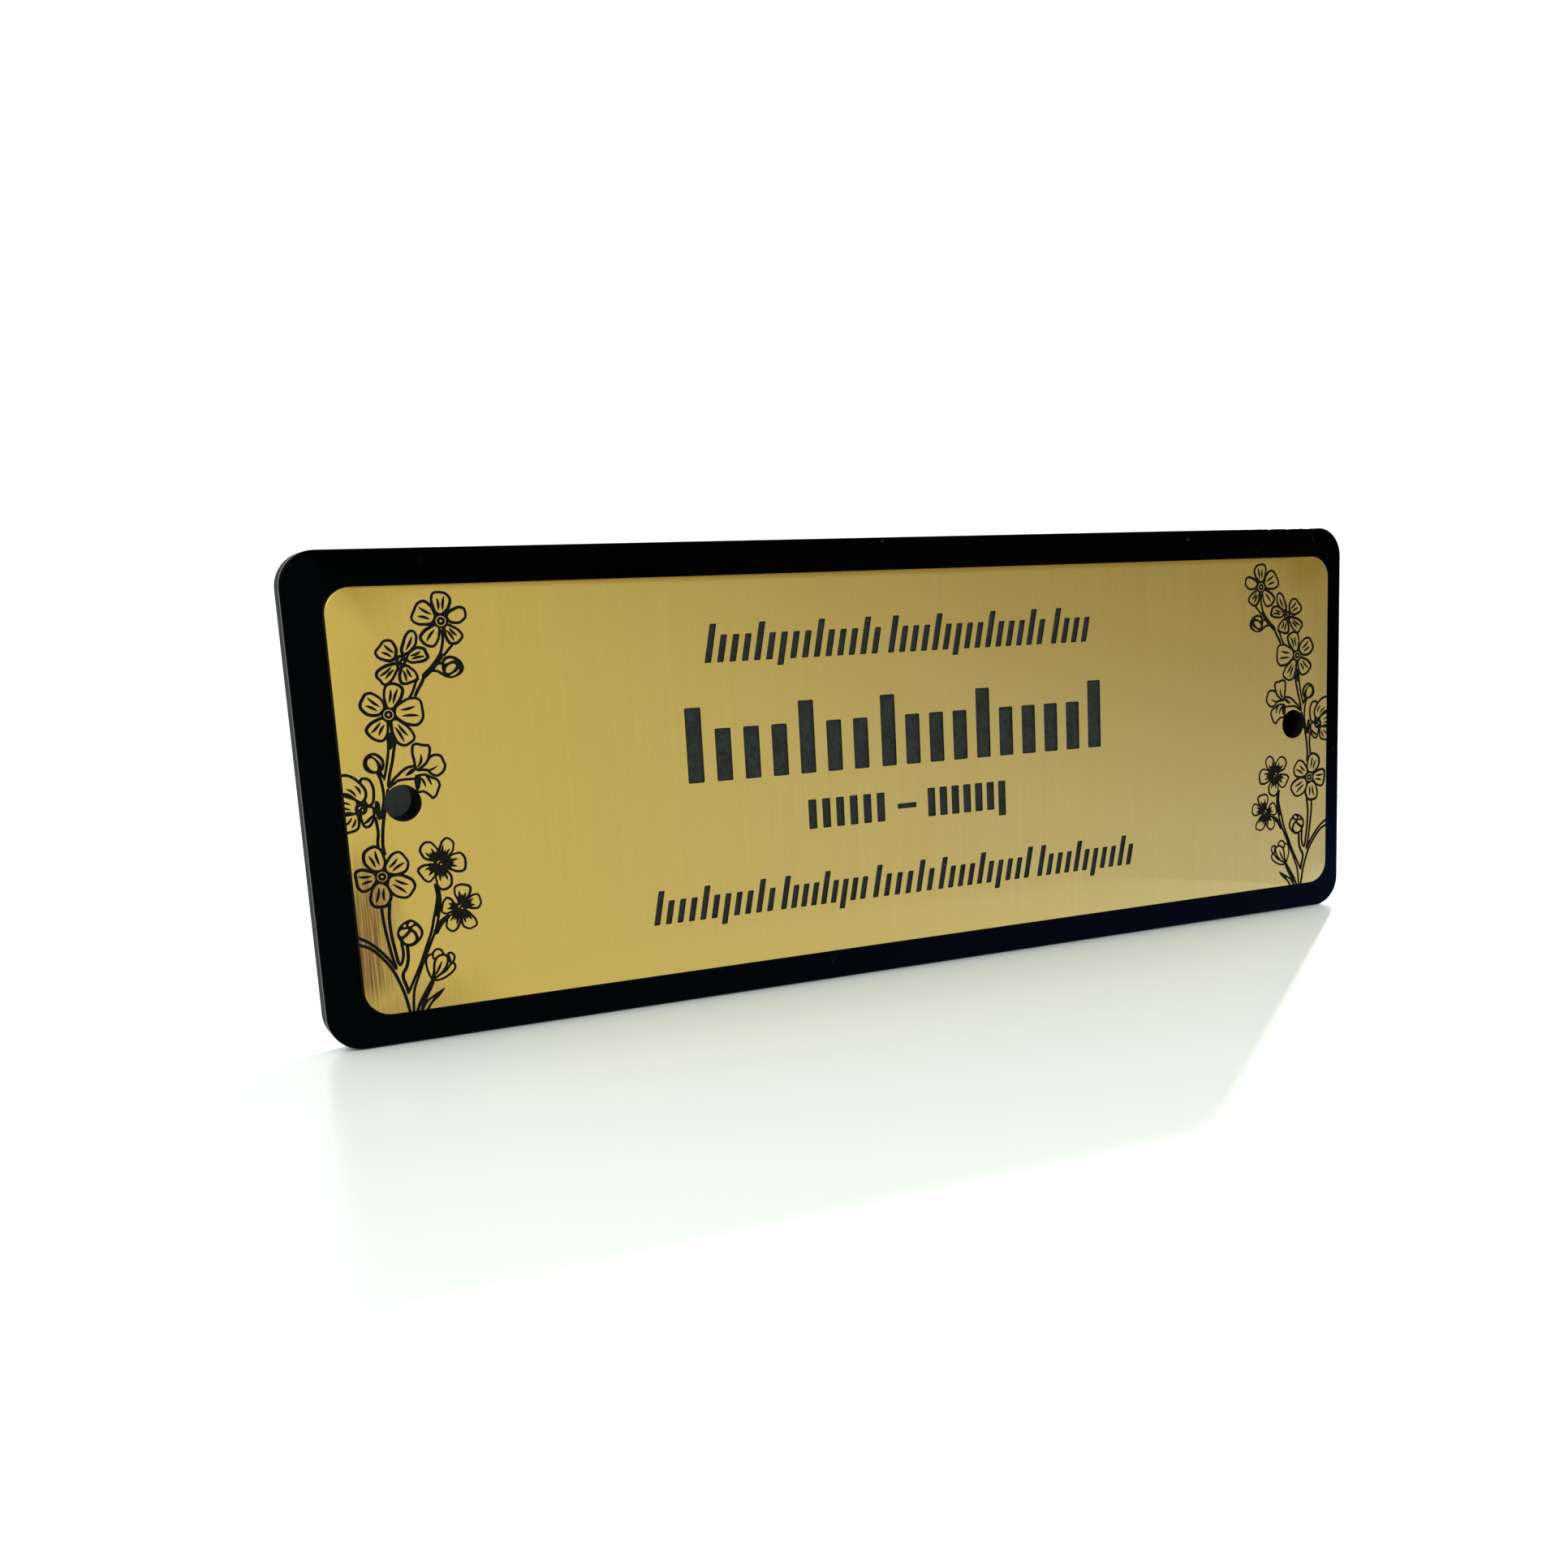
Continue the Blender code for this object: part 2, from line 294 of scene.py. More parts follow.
@dataclass(frozen=True)
class Petal:
    """One petal, drawn as an outline with short vein strokes.

    The outline is an egg: along its heading a cosine, across it a sine that the taper widens
    towards the tip. A power under one squares the sine, cosines of three and seven turns make the
    edge uneven, and the notch is the depth of a dent (or, below zero, of a point) at the tip.
    """

    heading: float
    reach: float
    width: float
    notch: float = 0.0
    veins: int = 2
    start: float = 0.7
    taper: float = 0.2
    square: float = 0.18
    wave: float = 0.07
    flutter: float = 0.3
    dent_width: float = 0.22
    swell: float = 0.14
    vein_spread: float = 0.36
    vein_gather: float = 0.6
    vein_foot: float = 0.33
    vein_lengths: Point = (0.52, 0.44)
    vein_width: float = 0.44
    vein_bow: float = 0.12
    steps: int = 44

    def outline(self, centre: Point) -> np.ndarray:
        """The petal's outer edge.

        Args:
            centre: the flower's centre.

        Returns:
            Anticlockwise outline.
        """
        along, side = heading_vectors(self.heading)
        angle = np.linspace(0, 2 * math.pi, self.steps, endpoint=False)
        sine, cosine = np.sin(angle), np.cos(angle)
        half = (self.reach - self.start) / 2
        squared = np.sign(sine) * np.abs(sine) ** (1 - self.square)
        slow = np.cos(3 * angle + self.heading)
        uneven = self.wave * (slow + self.flutter * np.cos(7 * angle + 2 * self.heading))
        across = (self.width / 2 + uneven) * squared * (1 + self.taper * cosine)
        dip = np.exp(-(across / (self.dent_width * self.width)) ** 2)
        dent = self.notch * dip * np.clip(cosine, 0, 1)
        distance = self.start + half * (1 + cosine) - dent + uneven * cosine
        return np.array(centre) + distance[:, None] * along + across[:, None] * side

    def layers(self, centre: Point, line: float) -> list[Layer]:
        """The outlined petal and its veins.

        Args:
            centre: the flower's centre.
            line: width of the outline's stroke, which swells and thins once round the petal.

        Returns:
            Layers from the lowest to the topmost.
        """
        edge = anticlockwise(self.outline(centre))
        turn = np.linspace(0, 2 * math.pi, self.steps) + self.heading
        weight = line * (1 + self.swell * np.sin(turn))
        made = [Layer(edge, Region.FINE), Layer(inset(edge, weight), Region.LAND)]
        along, side = heading_vectors(self.heading)
        for index in range(self.veins):
            offset = (index - (self.veins - 1) / 2) * self.vein_spread * self.width
            foot = self.vein_foot * self.reach
            head = foot + self.vein_lengths[index % 2] * self.reach
            near = np.array(centre) + foot * along + self.vein_gather * offset * side
            far = np.array(centre) + head * along + offset * side
            bow = self.vein_bow if offset < 0 else -self.vein_bow
            made.append(Layer(lens(near, far, self.vein_width, bow), Region.FINE))
        return made


@dataclass(frozen=True)
class Patch:
    """A freehand area inside a closed smooth curve; with a line width only its rim is cut.

    Its knots, and those of the windows left uncut in it, are given across and up in turn.
    """

    knots: tuple[float, ...]
    line: float = 0.0
    windows: tuple[tuple[float, ...], ...] = ()

    def layers(self) -> list[Layer]:
        """The area, then the land inside its line and in its windows.

        Returns:
            Layers from the lowest to the topmost.
        """
        edge = smooth_loop(self.knots)
        land = [inset(edge, self.line)] if self.line else []
        land += [smooth_loop(window) for window in self.windows]
        return [Layer(edge, Region.FINE)] + [Layer(outline, Region.LAND) for outline in land]


@dataclass(frozen=True)
class Bloom:
    """An open flower: its place, how its heart is drawn, and its petals from back to front.

    A ringed heart has rings given as share of its radius, number of points and region. The
    other hearts are dark with a glint and a dot of gold, placed from the centre.
    """

    across: float
    up: float
    heart: Heart
    petals: tuple[Petal, ...]
    line: float = 0.46
    heart_radius: float = 1.08
    rings: tuple[tuple[float, int, Region], ...] = (
        (0.7, 24, Region.LAND), (0.58, 24, Region.FINE), (0.18, 10, Region.LAND))
    glint: tuple[Point, Point] = ((-0.35, -0.1), (0.1, 0.35))
    glint_width: float = 0.17
    glint_bow: float = 0.12
    dot: Point = (0.2, -0.2)
    dot_radius: float = 0.12
    ray_lengths: tuple[float, ...] = (0.5, 0.68, 0.57, 0.71, 0.49)
    ray_width: float = 0.52
    ray_fan: float = 12.0

    def layers(self) -> list[Layer]:
        """The whole flower.

        Returns:
            Layers from the lowest to the topmost.
        """
        centre = np.array([self.across, self.up])
        made = []
        for petal in self.petals:
            made += petal.layers(centre, self.line)
        if self.heart is Heart.RADIATING:
            made += self.rays(centre)
        made.append(Layer(circle(centre, self.heart_radius), Region.FINE))
        if self.heart is Heart.RINGED:
            return made + [Layer(circle(centre, share * self.heart_radius, steps), region)
                           for share, steps, region in self.rings]
        start, end = centre + self.glint
        made.append(Layer(lens(start, end, self.glint_width, self.glint_bow), Region.LAND))
        made.append(Layer(circle(centre + self.dot, self.dot_radius, 10), Region.LAND))
        return made

    def rays(self, centre: np.ndarray) -> list[Layer]:
        """Dark stamens: slender leaves of uneven length, fanned from the centre into each petal.

        Args:
            centre: the flower's centre.

        Returns:
            One layer for each stamen.
        """
        made = []
        for petal in self.petals:
            for index, share in enumerate(self.ray_lengths):
                along, _ = heading_vectors(petal.heading + self.ray_fan * (index - 2))
                tip = centre + share * petal.reach * along
                made.append(Layer(lens(centre, tip, self.ray_width), Region.FINE))
        return made


@dataclass(frozen=True)
class Sprig:
    """The flower sprig at one end of the plate.

    Places are measured from the screw hole's axis, across towards the plate's middle and up.
    Stems are a width and their knots; veins are both ends, the width and the bow.
    """

    stems: tuple[tuple[float, tuple[float, ...]], ...] = (
        (0.45, (8.1, 25.4, 8.15, 24, 7.95, 22.9, 7.6, 21.9, 7, 21)),
        (0.85, (7.9, 21.9, 7.1, 20.8, 6.1, 19.7, 5.2, 18.9, 4.6, 18.4)),
        (0.42, (9.6, 23.1, 8.8, 22.3, 8, 21.4)),
        (0.5, (4.9, 18.6, 4.4, 17.6, 3.8, 16.7, 3.2, 15.6)),
        (0.42, (4.1, 18.4, 3.6, 17.9, 3.25, 17, 2.8, 16.1, 2.3, 15.4)),
        (0.42, (6.9, 20.4, 7.6, 20.4, 8.2, 20.8)),
        (0.42, (5.6, 19.1, 6.3, 19.35, 7, 19.2, 7.6, 18.8, 8.3, 18.3)),
        (0.42, (-1.3, 10, -1.35, 8.6, -1.6, 7, -2, 5.3, -2.4, 3.9, -2.3, 3.7)),
        (0.48, (-0.1, 9.8, -0.6, 8, -1, 6.3, -1.6, 4.3, -2, 2.5)),
        (0.42, (-3, 5.3, -2.75, 4.5, -2.4, 3.9)),
        (0.45, (-3.5, 5.2, -3, 3.9, -2.75, 2.2, -2.8, 0.6, -3.2, -0.9, -3.6, -2.2)),
        (0.5, (-2, 2.4, -2.3, 1, -2.6, -0.3, -3, -1.8, -3.3, -3.3, -3.5, -4.8, -3.6, -6.3, -3.4,
            -7.6)),
        (0.48, (-4.3, -1.6, -4.15, -3, -4.1, -4.2, -4.3, -5.5, -4.3, -7)),
        (0.45, (-2, 2.5, -1.2, 3.5, -0.3, 4.3, 0.6, 5, 1.3, 5.3, 2.2, 5.4)),
        (0.42, (-2, 2.4, -1.1, 3, -0.4, 3.42, 0.6, 3.52, 1.6, 3.5, 2.4, 3.5)),
        (0.48, (-4.75, -14.8, -4.65, -17.5, -4.3, -20.5, -3.9, -23, -3.4, -25.2)),
        (0.5, (-3.4, -14.6, -3.75, -17, -3.7, -19.5, -3.4, -22, -3, -24.6)),
        (0.48, (-3, -24.7, -2.5, -24.1, -2.2, -22.8, -2.35, -20.9)),
        (0.55, (-1.5, -21.3, -1.55, -23.5, -1.9, -24.9, -2.5, -25.9, -2.55, -26.8, -2.2, -28, -2,
            -29.2)),
        (0.48, (-9.6, -18.9, -8.4, -19.7, -7, -20.6, -5.5, -22.1, -4.2, -23.8, -3.4, -25.2)),
        (0.5, (-9.6, -20.2, -8.3, -20.8, -6.9, -21.5, -5.4, -23.1, -4.1, -25, -3.2, -27.2, -2.5,
            -29.6, -1.9, -33)),
        (0.45, (3.5, -12.6, 3.7, -14.5, 3.35, -16.3, 2.85, -18, 2.3, -20, 1.3, -22.3, 0.2, -24.8,
            -0.9, -26.9, -2, -29)),
        (0.42, (4, -13.2, 4.1, -15.3, 3.75, -17.2, 3, -19.7, 2.1, -21.6, 0.9, -24.1, -0.3, -26.7,
            -1.2, -29.1, -1.6, -33)),
        (0.5, (3.8, -13.2, 3.95, -14.8, 3.7, -16.4, 3.3, -17.8)),
        (0.85, (5.6, -17.9, 4.7, -18.2, 3.9, -18.8, 3.2, -19.8, 2.8, -20.5)),
        (0.5, (1.8, -27.4, 1, -28.6, 0.2, -29.8, -0.6, -31.2, -1.3, -33)),
        (0.55, (1.9, -27.6, 1.3, -28.8, 0.7, -29.8, 0, -31.2, -0.5, -33)),
        (0.3, (1.5, -28.2, 0.8, -29.3, 0.1, -30.4)),
    )
    patches: tuple[Patch, ...] = (
        Patch((-1.5, 10.4, -0.2, 10.6, -0.4, 9.2, -1, 8.1, -1.4, 8.7)),
        Patch((0.7, 4.1, 1.3, 4.75, 1.9, 5.1, 2.3, 4.9, 1.9, 4.4, 1.3, 4.1)),
        Patch((-4, 0.7, -3.45, 0.3, -3.45, -1, -3.75, -2.3, -4.2, -1.2, -4.25, -0.2)),
        Patch((3.55, -28.95, 2.4, -29.45, 0.9, -30.3, -0.2, -31, 0.4, -33, 1.3, -31.3, 2.6, -30.2),
            windows=(
            (1.6, -30.35, 0.7, -30.95, -0.2, -32.4, 0.1, -32.3, 0.9, -31.2),)),
        # bud beside the top stem
        Patch((7.9, 21.1, 8.7, 21.45, 9.7, 21.3, 10.6, 20.6, 10.95, 19.6, 10.6, 18.8, 9.8, 18.3,
            8.9, 18.1, 8.1, 18.3, 7.7, 19, 7.6, 20.1), windows=(
            (8.2, 19.1, 8.6, 18.9, 9.2, 19.2, 9.7, 19.8, 9.6, 20.15, 9.1, 20.2, 8.4, 19.8),
            (8.1, 20.35, 8.3, 20.8, 8.9, 21, 9.6, 20.8, 9.1, 20.65, 8.5, 20.4),
            (8.7, 18.45, 9.4, 18.5, 10, 18.95, 10.2, 19.4, 9.7, 19, 9.2, 18.75))),
        # bud left of the stem
        Patch((-3.7, 7.85, -2.7, 7.4, -2.15, 6.5, -2.3, 5.4, -3, 4.8, -4.2, 4.75, -5.1, 5.4, -5.3,
            6.4, -4.8, 7.4), windows=(
            (-4.5, 6.8, -3.9, 7, -3.4, 6.4, -3.25, 5.6, -3.5, 5.1, -4.2, 5.4, -4.6, 6.1),
            (-3.9, 7.45, -3.3, 7.25, -2.7, 6.6, -2.6, 5.9, -2.9, 6.5, -3.4, 7))),
        # half-open bud
        Patch((-2.9, -19.8, -2.6, -18.8, -1.8, -18.1, -0.7, -17.7, 0.2, -18.2, 0.9, -19.1, 1.1, -20,
            0.7, -20.9, -0.3, -21.75, -1.3, -21.9, -2.2, -21.4, -2.7, -20.6), windows=(
            (-2.5, -19.6, -2.1, -19.2, -1.2, -19.2, -1.4, -19.6, -2.2, -20.15),
            (-2, -20.7, -1.4, -20.3, -0.7, -19.7, -0.3, -20.2, -0.25, -20.9, -0.8, -21.35, -1.6,
                -21.3),
            (-0.5, -19.1, 0.1, -18.85, 0.6, -19.6, 0.6, -20.3, 0.35, -20.6, 0.1, -19.8),
            (-1, -18.75, -0.85, -18.25, -0.3, -18.2, -0.45, -18.6),
            (-1.85, -18.6, -1.6, -18.4, -1.4, -18.5, -1.6, -18.85))),
        # drooping flower by the hole
        Patch((2.1, 3.9, 3.6, 4.2, 4.6, 3.7, 5.5, 3.2, 5.85, 2.3, 5.5, 1.4, 5.1, 0.6, 4.4, 0.2, 3.8,
            0.8, 3.1, 1.3, 2.3, 1.3, 2, 2.3), line=0.4),
        Patch((2.2, 4.1, 2.9, 3.4, 2.8, 2.4, 2.5, 1.9, 2.15, 2.4, 2.05, 3.3)),
        Patch((2.6, 4.6, 3.8, 4.5, 4.6, 3.75, 5.5, 3.5, 6.5, 4.1, 6.95, 5.1, 6.7, 6, 6.4, 6.7, 5.6,
            7.05, 4.6, 6.8, 3.6, 5.8), line=0.42),
        Patch((2.1, 5, 2, 6.2, 1.85, 7.2, 2, 8.5, 2.7, 8.9, 3.7, 8.65, 4.6, 8.5, 4.9, 7.9, 4.75,
            6.9, 4.3, 5.8, 3.4, 5, 2.6, 4.6), line=0.44),
        # flower bud at the foot
        Patch((1.6, -27.5, 1.05, -26.2, 0.85, -24.8, 1.1, -23.8, 1.9, -23.3, 2.6, -23.9, 2.4, -25.6,
            2, -27), line=0.36),
        Patch((2.1, -24.3, 2, -23.4, 2.5, -22.75, 3.1, -22.65, 3.7, -23, 3.9, -23.8, 3.2, -24.4),
            line=0.36),
        Patch((4.5, -24.6, 4.3, -23.7, 4.9, -23.45, 5.5, -23.9, 5.55, -24.7, 5.1, -25.3, 4.6,
            -25.3), line=0.36),
        Patch((1.8, -27.5, 2.6, -26.8, 3.8, -26.2, 4.6, -25.3, 5.2, -25.1, 5.6, -25.7, 5.3, -26.5,
            4.4, -27.2, 3.3, -27.7, 2.3, -27.8), line=0.36),
        Patch((2, -27.3, 1.95, -25.9, 2.2, -24.6, 2.8, -23.8, 3.8, -23.6, 4.5, -24.1, 4.5, -25.1,
            3.9, -26.2, 2.9, -27.1), line=0.4),
    )
    veins: tuple[tuple[float, ...], ...] = (
        (2.3, 5, 3.25, 7.3, 0.45, -0.45), (3.2, 4.6, 5.75, 5.3, 0.36, -0.3),
        (3.4, 4.3, 4.5, 2.2, 0.4, 0.15), (2.6, 3.9, 3.6, 2, 0.42, 0.2),
        (2.1, -27, 3.5, -24.6, 0.42, -0.1), (1.6, -27.6, 2.6, -27, 0.5, 0),
    )
    edge_flower: tuple[Patch, ...] = (
        Patch((-5.6, 0.3, -4.9, -0.15, -4.2, 0.4, -3.95, 1.6, -3.95, 2.8, -4.4, 3.9, -5.2, 4.35, -6,
            4.1, -6.3, 2.6), line=0.45),
        Patch((-6.5, -0.8, -6.45, -2.3, -6, -3.2, -5.2, -3.2, -4.5, -2.4, -4.2, -1.2, -4.35, -0.1,
            -5.4, 0.1), line=0.42),
        Patch((-6, 0.4, -6.9, 0.8, -8, 1.75, -9.8, 2.2, -10.2, 4.3, -8.4, 5.05, -7, 4.7, -5.8, 3.6,
            -5.1, 2.4, -5.2, 1.2), line=0.45),
        Patch((-6.5, 0.9, -7.9, 1.8, -9.8, 2.2, -9.8, -1, -8.2, -0.95, -6.9, -1.1), line=0.42),
        Patch((-6.7, -0.9, -8.2, -0.85, -9.8, -1, -9.6, -3.9, -8.2, -3.85, -7, -3.5, -6.5, -2.6),
            line=0.42),
    )
    edge_veins: tuple[tuple[float, ...], ...] = (
        (-8.2, 2.8, -6.7, 1.4, 0.4, 0.3), (-6.9, 3.25, -6.05, 1.75, 0.42, 0.22),
        (-9.2, 1, -7.5, 0.35, 0.34, 0.05), (-9.2, 0.1, -7.6, -0.4, 0.34, 0.05),
        (-7.6, -1.4, -8.8, -2.7, 0.38, 0.12), (-7.1, -1.6, -7.9, -3.1, 0.4, 0.15),
        (-6.2, -2.7, -4.5, -1.3, 0.5, -0.1),
    )
    edge_heart: Bloom = Bloom(-6.2, -0.33, Heart.DARK, (), heart_radius=0.95)
    blooms: tuple[Bloom, ...] = (
        Bloom(1.74, 21.09, Heart.DARK, (
            Petal(-141, 4.8, 2.6, 0.25), Petal(-72, 3.8, 2.9, 0.1), Petal(143, 4.0, 3.4, 0.15),
            Petal(61.5, 4.75, 2.15, -0.15, veins=1), Petal(14, 4.25, 2.5, 0.1)), heart_radius=0.85),
        Bloom(8.11, 26.59, Heart.RINGED, (
            Petal(155, 4.5, 3.8, 0.1), Petal(18, 4.1, 2.55, 0.0, veins=0), Petal(-53, 4.2, 2.6),
            Petal(-129, 4.5, 2.8, veins=1), Petal(86, 4.45, 3.1))),
        Bloom(-0.87, 13.26, Heart.RINGED, (
            Petal(-129, 4.5, 3.3), Petal(145, 4.65, 3.5, 0.15), Petal(-59, 5.5, 3.0, 0.1),
            Petal(4, 5.4, 4.3, 0.1), Petal(72, 4.95, 2.95))),
        Bloom(-4.17, -10.76, Heart.RINGED, (
            Petal(184.6, 4.2, 3.6, 0.1), Petal(-99.7, 4.85, 3.4, 0.05), Petal(-32, 5.3, 3.7, 0.1),
            Petal(36, 4.7, 3.5), Petal(107.7, 4.9, 3.4))),
        Bloom(4.52, -9.6, Heart.RADIATING, (
            Petal(-148, 3.7, 2.85, 0.1, veins=0), Petal(126, 3.95, 2.75, veins=0),
            Petal(-81, 4.25, 2.7, veins=0), Petal(62, 4.1, 2.35, veins=0),
            Petal(-4, 4.2, 3.1, veins=0)), line=0.37, heart_radius=0.9),
        Bloom(7.07, -16.76, Heart.RADIATING, (
            Petal(167.5, 3.0, 2.7, veins=0), Petal(-120, 4.0, 2.35, veins=0),
            Petal(-64.5, 3.9, 2.35, veins=0), Petal(17, 3.45, 2.4, veins=0),
            Petal(78, 3.8, 2.7, veins=0)), line=0.37, heart_radius=0.8),
    )

    def layers(self) -> list[Layer]:
        """The whole sprig.

        Returns:
            Layers from the lowest to the topmost.
        """
        made = [Layer(ribbon(route, width), Region.FINE) for width, route in self.stems]
        for patches, veins in ((self.patches, self.veins), (self.edge_flower, self.edge_veins)):
            for patch in patches:
                made += patch.layers()
            made += [Layer(lens(vein[:2], vein[2:4], *vein[4:]), Region.FINE) for vein in veins]
        for bloom in (self.edge_heart, *self.blooms):
            made += bloom.layers()
        return made

    def placed(self, side: int) -> list[Layer]:
        """The sprig in plate coordinates.

        Args:
            side: -1 for the left end and 1 for the right, which is its mirror.

        Returns:
            Layers from the lowest to the topmost.
        """
        moved = []
        for layer in self.layers():
            outline = np.stack([side * (HOLE_X - layer.outline[:, 0]), layer.outline[:, 1]], axis=1)
            moved.append(Layer(outline[::-side], layer.region))
        return moved


@dataclass(frozen=True)
class StrokeRow:
    """One row of short strokes with round corners, which lean by one angle."""

    baseline: float
    low: float
    tall: float
    deep: float
    stroke: float
    pitch: float
    lean: float
    groups: tuple[Point, ...]
    rhythm: tuple[str, ...] = ("tall", "low", "low", "low", "tall", "low", "deep", "low", "low")
    corner: float = 0.16

    def layers(self) -> list[Layer]:
        """Every stroke of the row.

        Returns:
            One layer for each stroke.
        """
        heights = {"low": (0.0, self.low), "tall": (0.0, self.tall),
                   "deep": (-self.deep, self.low)}
        made = []
        for start, end in self.groups:
            room = end - start - self.stroke
            count = max(1, round(room / self.pitch))
            for index in range(count + 1):
                ends = heights[self.rhythm[index % len(self.rhythm)]]
                made.append(Layer(self.bar(start + room * index / count, *ends), Region.CUT))
        return made

    def bar(self, x: float, foot: float, head: float, steps: int = 4) -> np.ndarray:
        """One stroke: a rounded box from foot to head over the baseline, sheared by the lean.

        Args:
            x: left edge at the row's middle height.
            foot: lower end over the baseline.
            head: upper end over the baseline.
            steps: points in each corner.

        Returns:
            Anticlockwise outline.
        """
        box = rounded_box((x, foot), (x + self.stroke, head), self.corner, steps)
        shear = math.tan(math.radians(self.lean)) * (box[:, 1] - self.low / 2)
        return box + np.stack([shear, np.full(len(box), self.baseline)], axis=1)


# Sheets

@dataclass
class Sheet:
    """A flat sheet with round corners, round holes, softened edges and, if wanted, engraving.

    Every point of the front plan stands in a column with four levels: the front, the underside
    of the surface film, the engraved floor and the back. Flat faces join points at one level
    and walls join two levels of one edge.
    """

    name: str
    width: float
    height: float
    corner: float
    front: float
    back: float
    front_arris: float
    back_arris: float = 0.0
    hole_arris: float = 0.12
    film: float = 0.06
    depth: float = 0.3
    least_cut: float = 1.5
    arris_steps: int = 4
    corner_steps: int = 14
    hole_steps: int = 72
    side_slot: Slot = Slot.CORE
    rear_slot: Slot = Slot.CORE
    bore_slot: Slot = Slot.THIRD
    layers: list[Layer] = field(default_factory=list)

    def outline(self, inward: float) -> np.ndarray:
        """The sheet's edge moved inwards; the corners keep their centres."""
        reach = np.array([self.width, self.height]) / 2 - inward
        return rounded_box(-reach, reach, self.corner - inward, self.corner_steps)

    def edge_distance(self, points: np.ndarray) -> np.ndarray:
        """Distance inside the edge: corner radius less the distance from the inner rectangle.

        Args:
            points: points of the front plan.

        Returns:
            Distance from the outer edge, nought on it.
        """
        beyond = np.abs(points) - np.array([self.width, self.height]) / 2 + self.corner
        outside = np.linalg.norm(np.clip(beyond, 0, None), axis=1)
        return np.clip(self.corner - outside - np.minimum(beyond.max(axis=1), 0), 0, None)

    def arris_drop(self, points: np.ndarray, radius: float) -> np.ndarray:
        """How far the front falls back: a quarter circle at the edge, a chamfer at a hole.

        Args:
            points: points of the front plan.
            radius: radius of the softened outer edge.

        Returns:
            Depth behind the flat face.
        """
        drop = np.zeros(len(points))
        if radius > 0:
            inside = np.clip(1 - self.edge_distance(points) / radius, 0, 1)
            drop = radius * (1 - np.sqrt(1 - inside ** 2))
        for x, z, hole in HOLES:
            from_wall = np.linalg.norm(points - (x, z), axis=1) - hole
            drop = np.maximum(drop, np.clip(self.hole_arris - from_wall, 0, self.hole_arris))
        return drop

    def ring_loops(self) -> list[np.ndarray]:
        """Closed lines that the plan follows: the arris rings and the holes' chamfers.

        Returns:
            The closed outlines.
        """
        loops = []
        for radius in {self.front_arris, self.back_arris} - {0.0}:
            turns = np.linspace(0, math.pi / 2, self.arris_steps + 1)[1:]
            loops += [self.outline(radius * (1 - math.cos(turn))) for turn in turns]
        for x, z, hole in HOLES:
            loops.append(circle((x, z), hole + self.hole_arris, self.hole_steps))
        return loops

    def plan(self) -> tuple[np.ndarray, np.ndarray, np.ndarray]:
        """Triangulate the front plan; each triangle takes the region of its topmost layer.

        Returns:
            Points, anticlockwise triangles and the region of each triangle.
        """
        painted = [Layer(self.outline(0.0), Region.LAND), *self.layers]
        painted += [Layer(circle((x, z), radius, self.hole_steps), Region.VOID)
                    for x, z, radius in HOLES]
        loops = [layer.outline for layer in painted] + self.ring_loops()
        edges, start = [], 0
        for loop in loops:
            around = start + np.arange(len(loop))
            edges += np.stack([around, np.roll(around, -1)], axis=1).tolist()
            start += len(loop)
        corners = [Vector(point) for point in np.concatenate(loops).tolist()]
        found = delaunay_2d_cdt(corners, edges, [], 0, MERGE_DISTANCE)
        points = np.array([tuple(point) for point in found[0]])
        triangles = np.array(found[2])
        middles = points[triangles].mean(axis=1)
        regions = self.painted_regions(middles, painted)
        on_sheet = wound_round(painted[0].outline, middles)
        kept = on_sheet & (regions != Region.VOID)
        return points, triangles[kept], regions[kept]

    def painted_regions(self, places: np.ndarray, painted: list[Layer]) -> np.ndarray:
        """Region at each place: that of the last layer that winds round it.

        Args:
            places: middles of the triangles.
            painted: layers from the lowest to the topmost.

        Returns:
            One region for each place.
        """
        regions = np.full(len(places), Region.VOID)
        for layer in painted:
            low, high = layer.outline.min(axis=0), layer.outline.max(axis=0)
            near = np.flatnonzero(((places > low) & (places < high)).all(axis=1))
            regions[near[wound_round(layer.outline, places[near])]] = layer.region
        return regions

    def near_hole(self, points: np.ndarray) -> np.ndarray:
        """Which points of the plan stand on the edge of a hole.

        Args:
            points: points of the plan.

        Returns:
            True for each such point.
        """
        close = np.zeros(len(points), bool)
        for x, z, radius in HOLES:
            close |= np.linalg.norm(points - (x, z), axis=1) < radius + TOUCHING
        return close

    def walls(self, triangles: np.ndarray, regions: np.ndarray,
              count: int) -> tuple[np.ndarray, np.ndarray]:
        """Walls between neighbours of different height, as quads of column numbers.

        Args:
            triangles: corner numbers of each triangle.
            regions: region of each triangle.
            count: number of points in the plan.

        Returns:
            Quads through the film, and quads from under the film to the floor or the back.
        """
        start = triangles.ravel()
        end = np.roll(triangles, -1, axis=1).ravel()
        own = np.repeat(regions, 3)
        order = np.argsort(start * count + end)
        keys = (start * count + end)[order]
        wanted = end * count + start
        place = np.clip(np.searchsorted(keys, wanted), 0, len(keys) - 1)
        other = np.where(keys[place] == wanted, own[order][place], Region.VOID)

        def quads(chosen: np.ndarray, upper: int, lower: int) -> np.ndarray:
            """Quads between two levels along the chosen edges, facing out of the higher side."""
            ends = np.stack([end[chosen], start[chosen]], axis=1)
            return np.concatenate([ends + upper * count, ends[:, ::-1] + lower * count], axis=1)

        from_land = (own == Region.LAND) & (other != Region.LAND)
        to_back = other == Region.VOID
        body = np.concatenate([quads(from_land, 1, 2), quads(to_back, 2, 3)])
        return quads(from_land, 0, 1), body

